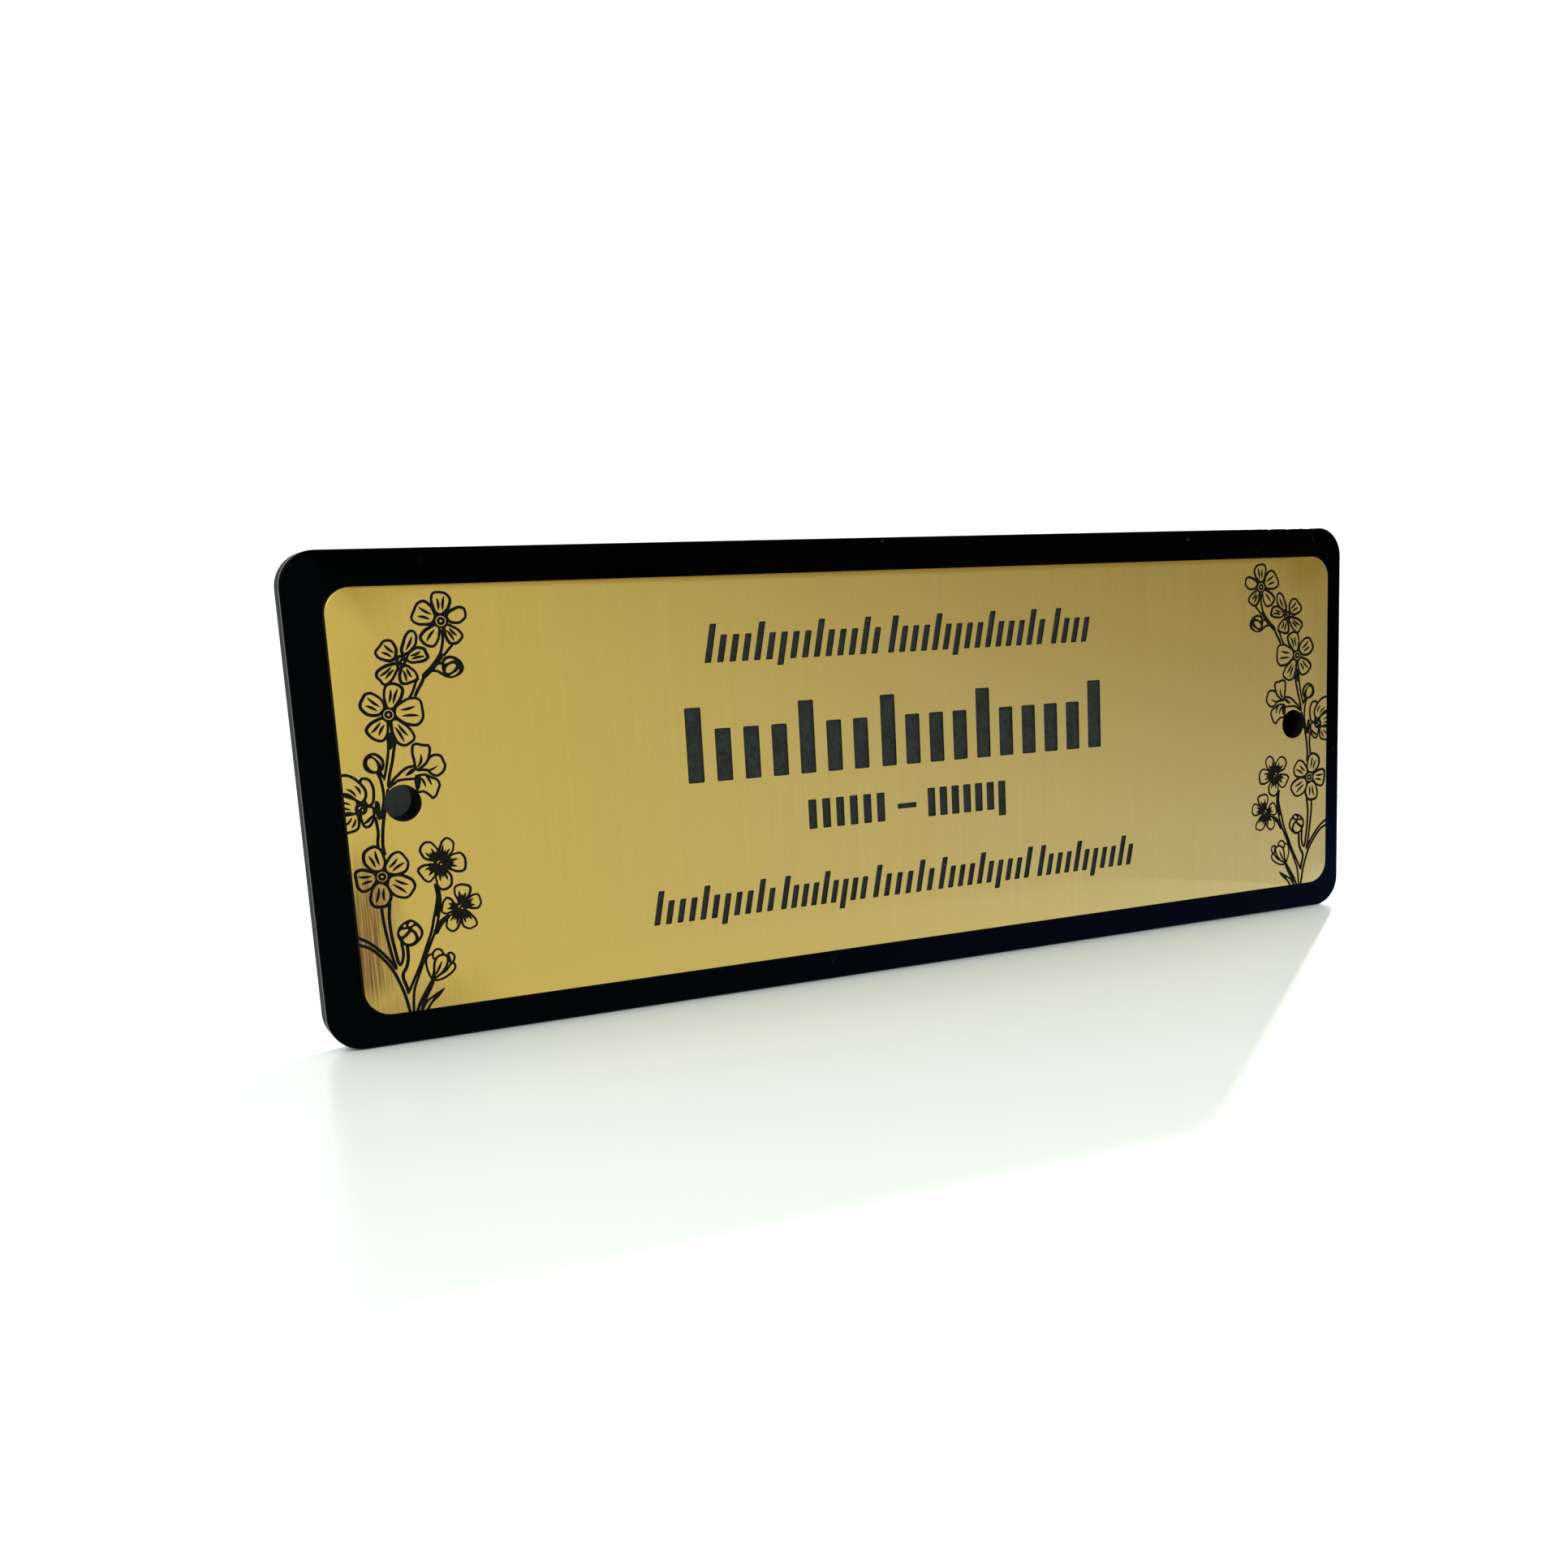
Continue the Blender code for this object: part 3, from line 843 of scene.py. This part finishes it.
    def build(self) -> bpy.types.Object:
        """Make the sheet's mesh.

        Returns:
            The linked object, whose faces have the slots of Slot.
        """
        points, triangles, regions = self.plan()
        count = len(points)
        drop = self.arris_drop(points, self.front_arris)
        rise = self.arris_drop(points, self.back_arris) if self.back_arris else np.zeros(count)
        front = self.front + drop
        floor = np.maximum(self.front + self.depth, front + self.least_cut * self.film)
        levels = np.concatenate([front, front + self.film, floor, self.back - rise])
        across, up = np.tile(points, (4, 1)).T
        land, cut, fine = (triangles[regions == region]
                           for region in (Region.LAND, Region.CUT, Region.FINE))
        film, body = self.walls(triangles, regions, count)
        bore = self.near_hole(points)[body[:, 0] % count]
        return mesh_object(self.name, np.stack([across, levels, up], axis=1) * MM, [
            (land, Slot.FACE), (cut + 2 * count, Slot.CORE), (fine + 2 * count, Slot.THIRD),
            (triangles[:, ::-1] + 3 * count, self.rear_slot), (film, Slot.FACE),
            (body[~bore], self.side_slot), (body[bore], self.bore_slot)])


def mesh_object(name: str, vertices: np.ndarray,
                parts: list[tuple[np.ndarray, int]]) -> bpy.types.Object:
    """Put points and faces into a linked mesh object, smooth except at sharp angles.

    Args:
        name: the object's name.
        vertices: points, one a row, in metres; those that no face uses are left out.
        parts: arrays of faces, each with its material slot.

    Returns:
        The object.
    """
    corners = np.concatenate([faces.ravel() for faces, _ in parts])
    used, renumbered = np.unique(corners, return_inverse=True)
    totals = np.concatenate([np.full(len(faces), faces.shape[1]) for faces, _ in parts])
    slots = np.concatenate([np.full(len(faces), slot) for faces, slot in parts])
    starts = np.cumsum(totals) - totals
    mesh = bpy.data.meshes.new(name)
    mesh.vertices.add(len(used))
    mesh.vertices.foreach_set("co", vertices[used].astype(np.float32).ravel())
    mesh.loops.add(len(renumbered))
    mesh.loops.foreach_set("vertex_index", renumbered.astype(np.int32))
    mesh.polygons.add(len(totals))
    mesh.polygons.foreach_set("loop_start", starts.astype(np.int32))
    mesh.polygons.foreach_set("material_index", slots.astype(np.int32))
    mesh.update(calc_edges=True)
    mesh.validate()
    mesh.set_sharp_from_angle(angle=math.radians(SHARP_DEGREES))
    piece = bpy.data.objects.new(name, mesh)
    bpy.context.scene.collection.objects.link(piece)
    return piece


# Shader building

class Graph:
    """A node tree with short ways to add the nodes that the finishes use."""

    def __init__(self, tree: bpy.types.NodeTree) -> None:
        """Keep the tree."""
        self.tree = tree

    def put(self, node: bpy.types.Node, sockets: dict) -> None:
        """Set a node's inputs, by name or number, to values, or link outputs to them.

        Args:
            node: the node.
            sockets: input name or number to a value or an output.
        """
        for key, value in sockets.items():
            if isinstance(value, Socket):
                self.tree.links.new(value, node.inputs[key])
            else:
                node.inputs[key].default_value = value

    def node(self, kind: str, sockets: dict | None = None, **settings: object) -> bpy.types.Node:
        """Add a node.

        Args:
            kind: the node's type name without its first word.
            sockets: input name or number to a value, or to an output to link from.
            settings: attributes of the node.

        Returns:
            The node.
        """
        made = self.tree.nodes.new("ShaderNode" + kind)
        for key, value in settings.items():
            setattr(made, key, value)
        self.put(made, sockets or {})
        return made

    def group(self, tree: bpy.types.NodeTree, vector: Socket, **values: object) -> bpy.types.Node:
        """Add a shared group that reads a vector, with its value inputs by name."""
        return self.node("Group", {"Vector": vector, **values}, node_tree=tree)

    def math(self, operation: str, first: object, second: object = 0.0) -> Socket:
        """One arithmetic step on two values."""
        return self.node("Math", {0: first, 1: second}, operation=operation).outputs[0]

    def times(self, first: object, *others: object) -> Socket:
        """The product of two or more values.

        Args:
            first: a value or an output.
            others: what it is multiplied by.

        Returns:
            The product's output.
        """
        for other in others:
            first = self.math("MULTIPLY", first, other)
        return first

    def stretched(self, vector: Socket, scale: Triple) -> Socket:
        """The vector multiplied by a scale for each axis."""
        return self.node("VectorMath", {0: vector, 1: scale}, operation="MULTIPLY").outputs[0]

    def noise(self, vector: Socket, scale: object, detail: float = 2.0,
              roughness: float = 0.5) -> Socket:
        """A noise value between nought and one."""
        return self.node("TexNoise", {"Vector": vector, "Scale": scale, "Detail": detail,
                                      "Roughness": roughness}).outputs["Fac"]

    def ramp(self, value: object, low: float, high: float, to_low: float = 0.0,
             to_high: float = 1.0) -> Socket:
        """A smooth step of a value from one range to another."""
        return self.node("MapRange", {0: value, 1: low, 2: high, 3: to_low, 4: to_high},
                         interpolation_type="SMOOTHSTEP").outputs[0]

    def fall(self, value: object, low: float, high: float, full: float = 1.0) -> Socket:
        """A smooth step of a value down from full to nought."""
        return self.ramp(value, low, high, full, 0.0)

    def between(self, share: Socket, low: float, high: float) -> Socket:
        """The value at a share of the way from one to another."""
        return self.node("MapRange", {0: share, 3: low, 4: high}).outputs[0]

    def bump(self, height: Socket, strength: float, distance: float) -> Socket:
        """A normal tilted by a height, whose full distance is in metres."""
        return self.node("Bump", {"Strength": strength, "Distance": distance,
                                  "Height": height}).outputs["Normal"]

    def mix(self, share: object, first: object, second: object, blend: str = "MIX") -> Socket:
        """A mix of two colours.

        Args:
            share: how much of the second colour shows.
            first: a colour or an output.
            second: a colour or an output.
            blend: how the two are joined.

        Returns:
            The colour's output.
        """
        made = self.node("Mix", data_type="RGBA", blend_type=blend)
        ends = {key: (*value, 1.0) if isinstance(value, tuple) else value
                for key, value in ((6, first), (7, second))}
        self.put(made, {0: share, **ends})
        return made.outputs[2]


def new_group(name: str, inputs: dict[str, float],
              outputs: tuple[str, ...]) -> tuple[Graph, dict[str, Socket], bpy.types.Node]:
    """Start a shader group with a vector input, named value inputs and named value outputs.

    Args:
        name: the group's name.
        inputs: name of each value input and what it starts at.
        outputs: names of the value outputs.

    Returns:
        The graph, its inputs by name and its output node.
    """
    tree = bpy.data.node_groups.new(name, "ShaderNodeTree")
    tree.interface.new_socket("Vector", in_out="INPUT", socket_type="NodeSocketVector")
    for title, value in inputs.items():
        socket = tree.interface.new_socket(title, in_out="INPUT", socket_type="NodeSocketFloat")
        socket.default_value = value
    for title in outputs:
        tree.interface.new_socket(title, in_out="OUTPUT", socket_type="NodeSocketFloat")
    source = tree.nodes.new("NodeGroupInput")
    given = {socket.name: socket for socket in source.outputs if socket.name}
    return Graph(tree), given, tree.nodes.new("NodeGroupOutput")


def brushed_grain_group() -> bpy.types.NodeTree:
    """Fine upright brush lines: two noises, far finer across than along, multiplied and added.

    Returns:
        The group.
    """
    broader, broad_share = 0.21, 0.4
    graph, given, target = new_group("brushed_grain", {"Fineness": 5200.0, "Stretch": 0.012},
                                     ("Tone", "Height"))
    split = graph.node("SeparateXYZ", {0: given["Vector"]}).outputs
    along = graph.times(split["Z"], given["Stretch"])
    lines = graph.node("CombineXYZ", {0: split["X"], 1: split["Y"], 2: along}).outputs[0]
    fine = graph.noise(lines, given["Fineness"], detail=3.0, roughness=0.65)
    broad = graph.noise(lines, graph.times(given["Fineness"], broader), roughness=0.6)
    both = graph.math("ADD", graph.times(fine, 1 - broad_share), graph.times(broad, broad_share))
    graph.put(target, {"Height": fine, "Tone": graph.ramp(both, 0.28, 0.72)})
    return graph.tree


def clouding_group() -> bpy.types.NodeTree:
    """Slow drift of a surface: a soft noise some centimetres across.

    Returns:
        The group.
    """
    graph, given, target = new_group("clouding", {"Size": 30.0}, ("Drift",))
    graph.put(target, {"Drift": graph.ramp(graph.noise(given["Vector"], given["Size"]), 0.3, 0.7)})
    return graph.tree


def dust_group() -> bpy.types.NodeTree:
    """Settled dust and hairlines: rare peaks of a fine noise, and thin bent lines of another.

    Returns:
        The group.
    """
    speck_size, hair_width = 0.16, 0.006
    graph, given, target = new_group("dust", {"Density": 0.5, "Hairs": 0.5}, ("Specks", "Lines"))
    place = given["Vector"]
    grains = graph.node("TexVoronoi", {"Vector": place, "Scale": 420.0, "Randomness": 1.0})
    specks = graph.times(graph.fall(grains.outputs["Distance"], 0.0, speck_size),
                         graph.ramp(graph.noise(place, 260.0, detail=1.0), 0.62, 0.7))
    bent = graph.noise(graph.stretched(place, (1.0, 1.0, 0.35)), 140.0, detail=0.0)
    close = graph.math("ABSOLUTE", graph.math("SUBTRACT", bent, 0.5))
    lines = graph.times(graph.fall(close, 0.0, hair_width),
                        graph.ramp(graph.noise(place, 310.0, detail=0.0), 0.74, 0.78))
    graph.put(target, {"Specks": graph.times(specks, given["Density"]),
                       "Lines": graph.times(lines, given["Hairs"])})
    return graph.tree


class Effects:
    """The shader groups that the finishes share, each built once."""

    def __init__(self) -> None:
        """Build the groups."""
        self.grain = brushed_grain_group()
        self.clouding = clouding_group()
        self.dust = dust_group()


# Finishes

@dataclass(frozen=True)
class Finish:
    """What every finish has: a name, a base colour, a specular level and a material."""

    name: str
    colour: Triple
    specular: float = 0.5

    def make(self, effects: Effects) -> bpy.types.Material:
        """Build the material.

        Args:
            effects: the shared shader groups.

        Returns:
            The material.
        """
        material = bpy.data.materials.new(self.name)
        material.use_nodes = True
        graph = Graph(material.node_tree)
        place = graph.node("TexCoord").outputs["Object"]
        sockets = {"Base Color": (*self.colour, 1.0), "Specular IOR Level": self.specular}
        sockets.update(self.look(graph, place, effects))
        graph.put(material.node_tree.nodes["Principled BSDF"], sockets)
        return material

    def look(self, graph: Graph, place: Socket, effects: Effects) -> dict[str, object]:
        """What each finish feeds into the Principled shader.

        Args:
            graph: the material's graph.
            place: object coordinates.
            effects: the shared shader groups.

        Returns:
            Input name to a value or an output.
        """
        raise NotImplementedError


@dataclass(frozen=True)
class BrushedGold(Finish):
    """Gold film with an upright brush grain and a painted dark reddish reflection near the left
    end.

    Places of the painted reflection are in metres, each from where it is full to where it has gone.
    """

    name: str = "brushed_gold_film"
    colour: Triple = (0.460, 0.336, 0.067)
    deep: Triple = (0.423, 0.306, 0.059)
    # colour of a painted reflection: a dark reddish reflection painted into the gold near the left
    # end
    painted_reflection: Triple = (0.13, 0.06, 0.02)
    metallic: float = 0.85
    roughness: Point = (0.26, 0.33)
    grain: float = 0.2
    clouding: float = 0.12
    grain_depth: float = 0.00003
    band_across: Point = (-0.0925, -0.0868)
    band_top: Point = (-0.015, -0.0035)
    band_foot: Point = (-0.031, -0.0265)
    corner_across: Point = (-0.090, -0.072)
    corner_up: Point = (-0.033, -0.0235)
    wander: float = 0.006

    def look(self, graph: Graph, place: Socket, effects: Effects) -> dict[str, object]:
        """Colour from the grain, a slow drift and a painted dark reddish reflection; the rest from
        the grain.

        Args:
            graph: the material's graph.
            place: object coordinates.
            effects: the shared shader groups.

        Returns:
            Input name to a value or an output.
        """
        grain = graph.group(effects.grain, place, Fineness=5200.0, Stretch=0.012).outputs
        drift = graph.group(effects.clouding, place, Size=22.0).outputs["Drift"]
        share = graph.math("ADD", graph.times(drift, self.clouding),
                           graph.times(grain["Tone"], self.grain))
        colour = graph.mix(share, self.colour, self.deep)
        # patch is the share of the painted dark reddish reflection, mixed into the gold's base
        # colour
        patch = self.painted_reflection_share(graph, place, grain["Height"])
        return {"Base Color": graph.mix(patch, colour, self.painted_reflection), "Metallic": self.metallic,
                "Roughness": graph.between(grain["Tone"], *self.roughness),
                "Normal": graph.bump(grain["Height"], 0.25, self.grain_depth)}

    def painted_reflection_share(self, graph: Graph, place: Socket, grain: Socket) -> Socket:
        """Share of the painted reflection's colour: a band by the left edge and a patch in the
        lower corner.

        Args:
            graph: the material's graph.
            place: object coordinates.
            grain: the fine brush lines, which break both up.

        Returns:
            The share, nought to one.
        """
        split = graph.node("SeparateXYZ", {0: place}).outputs
        soft = graph.noise(graph.stretched(place, (1.0, 1.0, 0.4)), 90.0, detail=1.0)
        drift = graph.times(graph.math("SUBTRACT", soft, 0.5), self.wander)
        across = graph.math("ADD", split["X"], drift)
        band = graph.times(graph.fall(across, *self.band_across),
                           graph.fall(split["Z"], *self.band_top),
                           graph.ramp(split["Z"], *self.band_foot, to_low=0.4))
        corner = graph.times(graph.fall(across, *self.corner_across, full=0.6),
                             graph.fall(split["Z"], *self.corner_up))
        return graph.times(graph.math("MAXIMUM", band, corner),
                           graph.ramp(grain, 0.35, 0.62, to_low=0.35))


@dataclass(frozen=True)
class MarkedPlastic(Finish):
    """Black plastic with fine tool marks, which go from one colour and roughness to another."""

    name: str = "black_laminate_core"
    colour: Triple = (0.009, 0.0115, 0.009)
    specular: float = 0.1
    worn: Triple = (0.027, 0.032, 0.026)
    roughness: Point = (0.55, 0.55)
    fineness: float = 2600.0
    stretch: float = 0.6
    strength: float = 0.4
    depth: float = 0.00003

    def look(self, graph: Graph, place: Socket, effects: Effects) -> dict[str, object]:
        """Colour, roughness and bump from the grain lines.

        Args:
            graph: the material's graph.
            place: object coordinates.
            effects: the shared shader groups.

        Returns:
            Input name to a value or an output.
        """
        marks = graph.group(effects.grain, place, Fineness=self.fineness,
                            Stretch=self.stretch).outputs
        return {"Base Color": graph.mix(marks["Tone"], self.colour, self.worn),
                "Roughness": graph.between(marks["Tone"], *self.roughness),
                "Normal": graph.bump(marks["Height"], self.strength, self.depth)}


@dataclass(frozen=True)
class GlossBlack(Finish):
    """Polished black acrylic with a little settled dust and a few hairlines."""

    name: str = "gloss_black_acrylic"
    colour: Triple = (0.0002, 0.0003, 0.0004)
    specular: float = 0.018
    dust: Triple = (0.05, 0.055, 0.06)
    roughness: Point = (0.08, 0.14)
    dust_roughness: float = 0.4
    tint: tuple[float, float, float, float] = (0.5, 0.85, 1.0, 1.0)

    def look(self, graph: Graph, place: Socket, effects: Effects) -> dict[str, object]:
        """A slow drift of the polish, roughened and lightened by dust, over a faint ripple.

        Args:
            graph: the material's graph.
            place: object coordinates.
            effects: the shared shader groups.

        Returns:
            Input name to a value or an output.
        """
        dust = graph.group(effects.dust, place, Density=0.8, Hairs=0.25).outputs
        both = graph.math("MAXIMUM", dust["Specks"], dust["Lines"])
        drift = graph.group(effects.clouding, place, Size=45.0).outputs["Drift"]
        polish = graph.between(drift, *self.roughness)
        return {"Base Color": graph.mix(both, self.colour, self.dust),
                "Roughness": graph.math("ADD", polish, graph.times(both, self.dust_roughness)),
                "Specular Tint": self.tint,
                "Normal": graph.bump(graph.noise(place, 120.0), 0.08, 0.0001)}


@dataclass(frozen=True)
class PaleFloor(Finish):
    """A pale satin floor that fades out with the distance from its middle, in metres."""

    name: str = "pale_floor"
    colour: Triple = (0.88, 0.9, 0.88)
    specular: float = 0.12
    roughness: float = 0.25
    fade: Point = (0.3, 0.9)

    def look(self, graph: Graph, place: Socket, effects: Effects) -> dict[str, object]:
        """A plain surface whose alpha falls with the distance."""
        away = graph.node("VectorMath", {0: place}, operation="LENGTH").outputs["Value"]
        return {"Roughness": self.roughness, "Alpha": graph.fall(away, *self.fade)}


@dataclass(frozen=True)
class PaintedShadeCard(Finish):
    """A matt card painted dark grey as a wall in shade, with faint marks, which only its front
    shows.
    """

    name: str = "painted_shade_card"
    # dark grey of a wall in shade, painted on the card
    colour: Triple = (0.13, 0.15, 0.14)
    pale: Triple = (0.25, 0.27, 0.26)
    roughness: float = 0.9

    def look(self, graph: Graph, place: Socket, effects: Effects) -> dict[str, object]:
        """Painted shade: colour from a fine noise; the back is clear.

        Args:
            graph: the material's graph.
            place: object coordinates.
            effects: the shared shader groups; not used here.

        Returns:
            Input name to a value or an output.
        """
        marks = graph.noise(graph.stretched(place, (1.0, 1.0, 0.3)), 900.0)
        rear = graph.node("NewGeometry").outputs["Backfacing"]
        return {"Base Color": graph.mix(marks, self.colour, self.pale),
                "Roughness": self.roughness, "Alpha": graph.math("SUBTRACT", 1.0, rear)}


# Sub-assemblies

def sheet_in_box(name: str, box: tuple, corner: float, **sizes: object) -> Sheet:
    """A sheet as wide, high and deep as a solid's box.

    Args:
        name: the sheet's name.
        box: low and high corner in metres.
        corner: radius of its corners.
        sizes: other fields of the sheet.

    Returns:
        The sheet.
    """
    low, high = (np.array(end) / MM for end in box)
    return Sheet(name, high[0] - low[0], high[2] - low[2], corner, low[1], high[1], **sizes)


@dataclass
class Board:
    """The gloss black board that carries the plate and takes the two screws."""

    corner: float = 5.5
    arris: float = 0.5
    back_arris: float = 0.3
    finishes: tuple[Finish, ...] = (
        GlossBlack(),
        MarkedPlastic("satin_sawn_edge", (0.016, 0.0185, 0.0165), 0.004, (0.032, 0.037, 0.033),
                      (0.44, 0.6), fineness=1800.0, stretch=1.0, strength=0.3, depth=0.00005),
        MarkedPlastic("satin_black_back", (0.006, 0.007, 0.007), 0.1, (0.011, 0.0125, 0.012),
                      (0.45, 0.45)),
    )

    def build(self) -> bpy.types.Object:
        """Make the board in the place of its solid.

        Returns:
            The linked object.
        """
        return sheet_in_box(
            "gloss_black_board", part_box("back_board"), self.corner, front_arris=self.arris,
            back_arris=self.back_arris, film=0.6, depth=1.5, rear_slot=Slot.THIRD,
            bore_slot=Slot.FACE).build()

    def dress(self, piece: bpy.types.Object, effects: Effects) -> None:
        """Give the board its polished face, sawn sides and satin back.

        Args:
            piece: the board's object.
            effects: the shared shader groups.
        """
        for finish in self.finishes:
            piece.data.materials.append(finish.make(effects))
        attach(piece, "root")
        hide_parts("back_board")


@dataclass
class FacePlate:
    """The gold-faced plate with its engraving."""

    corner: float = 4.0
    arris: float = 0.18
    hole_arris: float = 0.05
    sprig: Sprig = field(default_factory=Sprig)
    rows: tuple[StrokeRow, ...] = (
        StrokeRow(18.2, 4.4, 6.2, 1.0, 1.15, 2.15, 12, ((-35.9, -4.5), (-2.5, 28.5), (30.4, 38.0))),
        StrokeRow(-1.0, 8.6, 12.2, 0, 2.8, 4.75, 0, ((-40.4, -7.4), (-4.9, 40.4)), corner=0.25),
        StrokeRow(-10.5, 5.0, 5.0, 1.2, 1.5, 2.6, 0, ((-19.3, -4.8), (3.7, 19.6))),
        StrokeRow(-8.6, 0.9, 0.9, 0, 3.7, 3.7, 0, ((-2.3, 1.4),)),
        StrokeRow(-23.6, 3.9, 5.6, 1.2, 1.05, 1.95, 12,
                  ((-47.6, -26.5), (-25.0, -9.0), (-7.5, 4.2), (5.5, 24.4), (26.2, 47.0))),
    )
    finishes: tuple[Finish, ...] = (
        BrushedGold(),
        MarkedPlastic(),
        # a darker copy of the core: painted shade in the narrow cuts, also used on the plate's
        # sides and bores
        MarkedPlastic("black_fine_cut_painted_shade", (0.003, 0.0028, 0.002), 0.05, (0.010, 0.0095, 0.0065),
                      (0.7, 0.7)),
    )

    def build(self) -> bpy.types.Object:
        """Make the plate in the place of its solid.

        Returns:
            The linked object.
        """
        layers = [layer for row in self.rows for layer in row.layers()]
        for side in (-1, 1):
            layers += self.sprig.placed(side)
        return sheet_in_box(
            "gold_faced_plate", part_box("face_plate"), self.corner, front_arris=self.arris,
            hole_arris=self.hole_arris, side_slot=Slot.THIRD, layers=layers).build()

    def dress(self, piece: bpy.types.Object, effects: Effects) -> None:
        """Give the plate its film, its core, and a darker black for the narrow cuts, sides and
        bores, which paints the shade in the narrow cuts.

        Args:
            piece: the plate's object.
            effects: the shared shader groups.
        """
        for finish in self.finishes:
            piece.data.materials.append(finish.make(effects))
        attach(piece, "root")
        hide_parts("face_plate")


# Studio

@dataclass(frozen=True)
class Glow:
    """A round part of the surround: the way to it, the cosines where it fades in, its colour."""

    side: Triple
    edge: Point
    colour: Triple


@dataclass(frozen=True)
class SoftBox:
    """A square light that faces the plaque: its place and side in millimetres, power in watts."""

    name: str
    place: Triple
    size: float
    power: float

    def build(self) -> None:
        """Hang the light."""
        data = bpy.data.lights.new(self.name, "AREA")
        data.size = self.size * MM
        data.energy = self.power
        light = bpy.data.objects.new(self.name, data)
        light.location = Vector(self.place) * MM
        light.rotation_euler = (-light.location).to_track_quat("-Z", "Y").to_euler()
        bpy.context.scene.collection.objects.link(light)


@dataclass
class Studio:
    """Pale floor, painted shade cards behind the holes, soft light and the camera."""

    camera_place: Triple = (-137.853, -268.170, 26.813)
    camera_forward: Triple = (0.454736, 0.867920, -0.199824)
    camera_up: Triple = (0.128839, 0.157898, 0.979014)
    image_size: float = 1932.0
    focal_pixels: float = 2091.04
    centre_pixel: Point = (1119.60, 1166.51)
    sensor: float = 36.0
    clip_start: float = 0.01
    floor_radius: float = 900.0
    floor_gap: float = 0.03
    card_radius: float = 3.1
    card_gap: float = 0.02
    disc_steps: int = 48
    room: Glow = Glow((0.61, -0.452, 0.651), (0.635, 0.705), (0.275, 0.171, 0.01))
    sky: Glow = Glow((0.916, -0.398, 0.047), (0.553, 0.942), (0.99, 1.19, 3.0))
    soft_fill: Triple = (0.74, 0.79, 0.76)
    strength: float = 1.25
    lights: tuple[SoftBox, ...] = (
        SoftBox("soft_box_left", (-700, -500, 600), 600, 4.0),
        SoftBox("window_behind", (1360, 1180, 860), 60, 45.0),
    )

    def camera(self) -> None:
        """Set up the camera at the photograph's place, with the shift of its crop."""
        data = bpy.data.cameras.new("camera")
        data.sensor_width = self.sensor
        data.lens = self.focal_pixels / self.image_size * self.sensor
        data.shift_x = (self.image_size / 2 - self.centre_pixel[0]) / self.image_size
        data.shift_y = (self.centre_pixel[1] - self.image_size / 2) / self.image_size
        data.clip_start = self.clip_start
        camera = bpy.data.objects.new("camera", data)
        bpy.context.scene.collection.objects.link(camera)
        forward = Vector(self.camera_forward).normalized()
        right = forward.cross(Vector(self.camera_up)).normalized()
        turn = Matrix((right, right.cross(forward), -forward)).transposed().to_4x4()
        camera.matrix_world = Matrix.Translation(Vector(self.camera_place) * MM) @ turn
        bpy.context.scene.camera = camera

    def discs(self, name: str, outlines: list[np.ndarray], axis: int, level: float,
              finish: Finish, effects: Effects) -> bpy.types.Object:
        """Flat round stage pieces, all square to one axis.

        Args:
            name: the object's name.
            outlines: outline of each disc, in the other two axes.
            axis: number of the axis.
            level: place on that axis.
            finish: what the discs are made of.
            effects: the shared shader groups.

        Returns:
            The object.
        """
        points = np.insert(np.concatenate(outlines), axis, level, axis=1)
        faces = np.arange(len(points)).reshape(len(outlines), -1)
        piece = mesh_object(name, points * MM, [(faces, Slot.FACE)])
        piece.data.materials.append(finish.make(effects))
        return piece

    def floor(self, effects: Effects) -> None:
        """A pale disc just under the board, which fades out far away.

        Args:
            effects: the shared shader groups.
        """
        outline = circle((0, 0), self.floor_radius, self.disc_steps)
        level = CAD_BOX[0][2] / MM - self.floor_gap
        floor = self.discs("floor", [outline], 2, level, PaleFloor(), effects)
        floor.visible_glossy = False

    def hole_shade_cards(self, effects: Effects) -> None:
        """Two discs at the back of the screw holes, painted dark as the shade of a wall behind
        them, so the holes look as deep as on a wall.

        Only their fronts are seen, so from behind both holes stay open.

        Args:
            effects: the shared shader groups.
        """
        outlines = [circle((x, z), self.card_radius, self.disc_steps) for x, z, _ in HOLES]
        level = CAD_BOX[1][1] / MM + self.card_gap
        # painted shade: these dark discs stand in for the shade of a wall behind the holes
        cards = self.discs("hole_shade_cards", outlines, 1, level, PaintedShadeCard(), effects)

    def world(self) -> None:
        """A plain pale surround, in which glossy faces see a dim warm room and a bluer light."""
        world = bpy.data.worlds.new("soft_surround")
        world.use_nodes = True
        graph = Graph(world.node_tree)
        direction = graph.node("TexCoord").outputs["Generated"]
        colours = []
        for glow in (self.room, self.sky):
            toward = graph.node("VectorMath", {0: direction, 1: glow.side},
                                operation="DOT_PRODUCT").outputs["Value"]
            colours.append(graph.mix(graph.ramp(toward, *glow.edge), WHITE, glow.colour))
        path = graph.node("LightPath").outputs
        glossy = graph.mix(1.0, *colours, blend="MULTIPLY")
        colour = graph.mix(path["Is Glossy Ray"], self.soft_fill, glossy)
        graph.put(world.node_tree.nodes["Background"], {
            "Color": graph.mix(path["Is Camera Ray"], colour, WHITE), "Strength": self.strength})
        bpy.context.scene.world = world

    def build(self, effects: Effects) -> None:
        """Make everything round the object.

        Args:
            effects: the shared shader groups.
        """
        self.camera()
        self.floor(effects)
        self.hole_shade_cards(effects)
        self.world()
        for light in self.lights:
            light.build()
        bpy.context.scene.view_settings.view_transform = "Standard"


def main() -> None:
    """Build the pieces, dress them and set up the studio."""
    logging.basicConfig(level=logging.INFO, format="%(name)s: %(message)s")
    effects = Effects()
    for assembly in (Board(), FacePlate()):
        piece = assembly.build()
        assembly.dress(piece, effects)
        LOG.info("%s: %d faces", piece.name, len(piece.data.polygons))
    Studio().build(effects)


if __name__ == "__main__":
    main()
